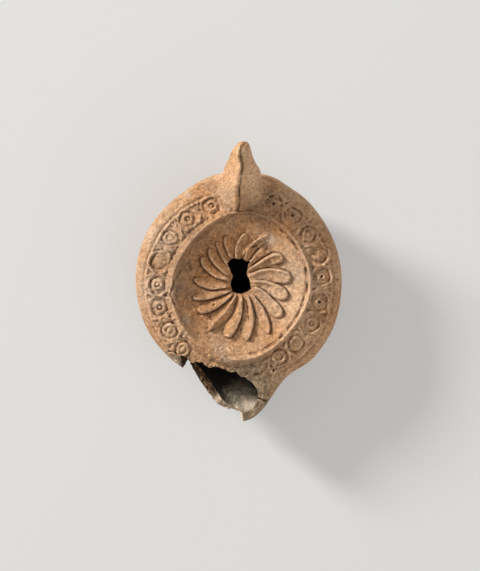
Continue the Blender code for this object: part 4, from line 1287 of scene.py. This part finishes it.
# %% Node helpers
def new_group(name, inputs, outputs):
    """A node group with its input and output nodes."""
    group = bpy.data.node_groups.new(name, "ShaderNodeTree")
    for label, kind in inputs:
        group.interface.new_socket(label, in_out="INPUT", socket_type=kind)
    for label, kind in outputs:
        group.interface.new_socket(label, in_out="OUTPUT", socket_type=kind)
    return group, group.nodes.new("NodeGroupInput"), group.nodes.new("NodeGroupOutput")


def add_noise(tree, position, size_mm, detail=4.0, roughness=0.6, distortion=0.0):
    noise = tree.nodes.new("ShaderNodeTexNoise")
    noise.inputs["Scale"].default_value = 1 / (size_mm * MM)
    noise.inputs["Detail"].default_value = detail
    noise.inputs["Roughness"].default_value = roughness
    noise.inputs["Distortion"].default_value = distortion
    tree.links.new(position, noise.inputs["Vector"])
    return noise.outputs["Fac"]


def add_range(tree, value, low, high, to_low=0.0, to_high=1.0):
    """Maps a value from one range to another and stops at its ends."""
    mapping = tree.nodes.new("ShaderNodeMapRange")
    for label, number in (("From Min", low), ("From Max", high), ("To Min", to_low), ("To Max", to_high)):
        mapping.inputs[label].default_value = number
    tree.links.new(value, mapping.inputs["Value"])
    return mapping.outputs["Result"]


def add_product(tree, first, second):
    times = tree.nodes.new("ShaderNodeMath")
    times.operation = "MULTIPLY"
    for socket, value in zip(times.inputs, (first, second)):
        if isinstance(value, (int, float)):
            socket.default_value = value
        else:
            tree.links.new(value, socket)
    return times.outputs[0]


def add_mix(tree, factor, first, second, blend="MIX"):
    """Mixes two colours; each may be a socket or three numbers."""
    mix = tree.nodes.new("ShaderNodeMix")
    mix.data_type = "RGBA"
    mix.blend_type = blend
    for socket, value in ((mix.inputs[0], factor), (mix.inputs[6], first), (mix.inputs[7], second)):
        if isinstance(value, (int, float)):
            socket.default_value = value
        elif isinstance(value, tuple):
            socket.default_value = (*value, 1)
        else:
            tree.links.new(value, socket)
    return mix.outputs[2]


def add_attribute(tree, name):
    attribute = tree.nodes.new("ShaderNodeAttribute")
    attribute.attribute_name = name
    return attribute.outputs["Fac"]


def add_group(tree, group, **joined):
    user = tree.nodes.new("ShaderNodeGroup")
    user.node_tree = group
    for label, value in joined.items():
        socket = user.inputs[label.replace("_", " ")]
        if isinstance(value, (int, float)):
            socket.default_value = value
        elif isinstance(value, tuple):
            socket.default_value = (*value, 1)
        else:
            tree.links.new(value, socket)
    return user.outputs


# %% The unevenness that all fired clay has
COLOUR, VALUE, VECTOR = "NodeSocketColor", "NodeSocketFloat", "NodeSocketVector"
clay, given, made = new_group("fired clay", [("Position", VECTOR)], [
    ("Flush", VALUE), ("Patch", VALUE), ("Grain", VALUE), ("Grit", VALUE), ("Fleck", VALUE),
])
position = given.outputs["Position"]
for label, socket in (
    ("Flush", add_range(clay, add_noise(clay, position, 14.0, 3.0, 0.55), 0.38, 0.64)),
    ("Patch", add_range(clay, add_noise(clay, position, 2.8, 6.0, 0.72, 0.4), 0.40, 0.66)),
    ("Grain", add_range(clay, add_noise(clay, position, 1.2, 4.0, 0.75), 0.30, 0.70)),
    ("Grit", add_range(clay, add_noise(clay, position, 1.25, 2.0, 0.5), 0.655, 0.70)),
    ("Fleck", add_range(clay, add_noise(clay, position, 1.7, 3.0, 0.6, 0.6), 0.64, 0.70)),
):
    clay.links.new(socket, made.inputs[label])

# %% Dirt and painted shade in hollows, wear and painted highlight on raised edges
dirt_shade_and_wear, given, made = new_group(
    "dirt, shade, wear and highlight",
    [("Colour", COLOUR), ("Relief", VALUE), ("Patch", VALUE)]
    + [("Dirt colour", COLOUR), ("Worn colour", COLOUR)],
    [("Colour", COLOUR)],
)
# Hollows darken as dirt and painted shade; raised edges pale as wear and painted highlight.
dirt_and_shade = add_product(dirt_shade_and_wear, add_range(dirt_shade_and_wear, given.outputs["Relief"], -0.14, -0.9), add_range(
    dirt_shade_and_wear, given.outputs["Patch"], 0.0, 1.0, 1.0, 0.75))
worn = add_product(dirt_shade_and_wear, add_range(dirt_shade_and_wear, given.outputs["Relief"], 0.06, 0.6), 0.6)
tone = add_mix(dirt_shade_and_wear, dirt_and_shade, given.outputs["Colour"], given.outputs["Dirt colour"])
dirt_shade_and_wear.links.new(add_mix(dirt_shade_and_wear, worn, tone, given.outputs["Worn colour"]), made.inputs["Colour"])


def finish_surface(material, nodes, shader, colour, grain, bump_mm):
    """Joins a colour to the shader and the grain to its bump."""
    tree = material.node_tree
    tree.links.new(colour, shader.inputs["Base Color"])
    shader.inputs["Specular IOR Level"].default_value = 0.25
    relief = nodes.new("ShaderNodeBump")
    relief.inputs["Distance"].default_value = bump_mm * MM
    tree.links.new(grain, relief.inputs["Height"])
    tree.links.new(relief.outputs["Normal"], shader.inputs["Normal"])


# %% Skin
CLAY, LIGHT_CLAY, BROWN_CLAY = (0.56, 0.295, 0.14), (0.62, 0.385, 0.22), (0.32, 0.155, 0.066)
STAIN_AND_PAINTED_LIGHT_COLOURS = {
    "warm_and_bounce_light": (0.62, 0.28, 0.10), "pale": (0.62, 0.49, 0.37),
    "buff_and_painted_light": (0.80, 0.52, 0.31), "dark_and_shade": (0.24, 0.145, 0.085),
}
# The hollows' colour is dirt and painted shade, the raised edges' colour wear and painted highlight.
SOOT, DIRT_AND_SHADE, WORN_EDGE_AND_HIGHLIGHT = (0.33, 0.245, 0.155), (0.085, 0.048, 0.026), (0.70, 0.48, 0.32)
SKIN_BUMP, INSIDE_BUMP, SECTION_BUMP = 0.7, 0.35, 0.25
GRIT, FLECK = (0.12, 0.075, 0.045), (0.66, 0.54, 0.42)

tree = skin.node_tree
place = skin_nodes.new("ShaderNodeTexCoord").outputs["Object"]
tones = add_group(tree, clay, Position=place)
colour = add_mix(tree, tones["Flush"], CLAY, LIGHT_CLAY)
colour = add_mix(tree, add_range(tree, tones["Patch"], 0, 1, 0.0, 0.7), colour, BROWN_CLAY)
# stains, with painted shade at the handle's foot, warm painted bounce light and painted light on shaded
# slopes
for kind, mark_colour in STAIN_AND_PAINTED_LIGHT_COLOURS.items():
    colour = add_mix(tree, add_attribute(tree, kind), colour, mark_colour)
colour = add_mix(tree, add_product(tree, add_attribute(tree, "soot"), 0.85), colour, SOOT)
colour = add_group(
    tree, dirt_shade_and_wear, Colour=colour, Relief=add_attribute(tree, "relief"), Patch=tones["Patch"],
    Dirt_colour=DIRT_AND_SHADE, Worn_colour=WORN_EDGE_AND_HIGHLIGHT,
)["Colour"]
colour = add_mix(tree, add_product(tree, tones["Grit"], 0.7), colour, GRIT)
colour = add_mix(tree, add_product(tree, tones["Fleck"], 0.35), colour, FLECK)
shade = add_range(tree, tones["Grain"], 0, 1, 0.56, 1.38)
colour = add_mix(tree, 1.0, colour, shade, "MULTIPLY")
pitting = add_mix(tree, 0.5, tones["Grain"], tones["Patch"])
finish_surface(skin, skin_nodes, skin_shader, colour, pitting, SKIN_BUMP)

# %% Inside and broken sections
ASH, LIT_ASH = (0.36, 0.30, 0.21), (0.72, 0.58, 0.46)
SMOKED, SOOT_AND_SHADE_BLACK = (0.12, 0.095, 0.06), (0.012, 0.009, 0.007)
OLD_BREAK, OLD_BREAK_DARK, BREAK_FLECK = (0.13, 0.068, 0.034), (0.015, 0.01, 0.007), (0.52, 0.30, 0.16)
FRESH_BREAK, FRESH_BREAK_DARK = (0.66, 0.52, 0.39), (0.50, 0.36, 0.24)

tree = inside.node_tree
place = inside_nodes.new("ShaderNodeTexCoord").outputs["Object"]
tones = add_group(tree, clay, Position=place)
colour = add_mix(tree, tones["Patch"], ASH, SMOKED)
colour = add_mix(tree, 1.0, colour, add_range(tree, tones["Grain"], 0, 1, 0.4, 1.5), "MULTIPLY")
# painted light on the crescent where light falls in, and painted black shade away from it, over the soot
colour = add_mix(tree, add_attribute(tree, "bright"), colour, LIT_ASH)
painted_inside_shade = add_range(tree, add_attribute(tree, "channel"), 0, 1, 1.0, 0.0)
colour = add_mix(tree, painted_inside_shade, colour, SOOT_AND_SHADE_BLACK)
finish_surface(inside, inside_nodes, inside_shader, colour, tones["Grain"], INSIDE_BUMP)

tree = section.node_tree
place = section_nodes.new("ShaderNodeTexCoord").outputs["Object"]
tones = add_group(tree, clay, Position=place)
colour = add_mix(tree, tones["Patch"], OLD_BREAK, OLD_BREAK_DARK)
colour = add_mix(tree, add_range(tree, tones["Grain"], 0.62, 0.8), colour, BREAK_FLECK)
fresh = add_mix(tree, tones["Patch"], FRESH_BREAK, FRESH_BREAK_DARK)
colour = add_mix(tree, add_attribute(tree, "fresh"), colour, fresh)
finish_surface(section, section_nodes, section_shader, colour, tones["Grain"], SECTION_BUMP)
print("materials:", [material.name for material in lamp.data.materials])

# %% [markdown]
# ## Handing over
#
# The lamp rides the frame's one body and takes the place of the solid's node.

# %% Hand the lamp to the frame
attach(lamp, "root")
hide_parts("lamp_body")
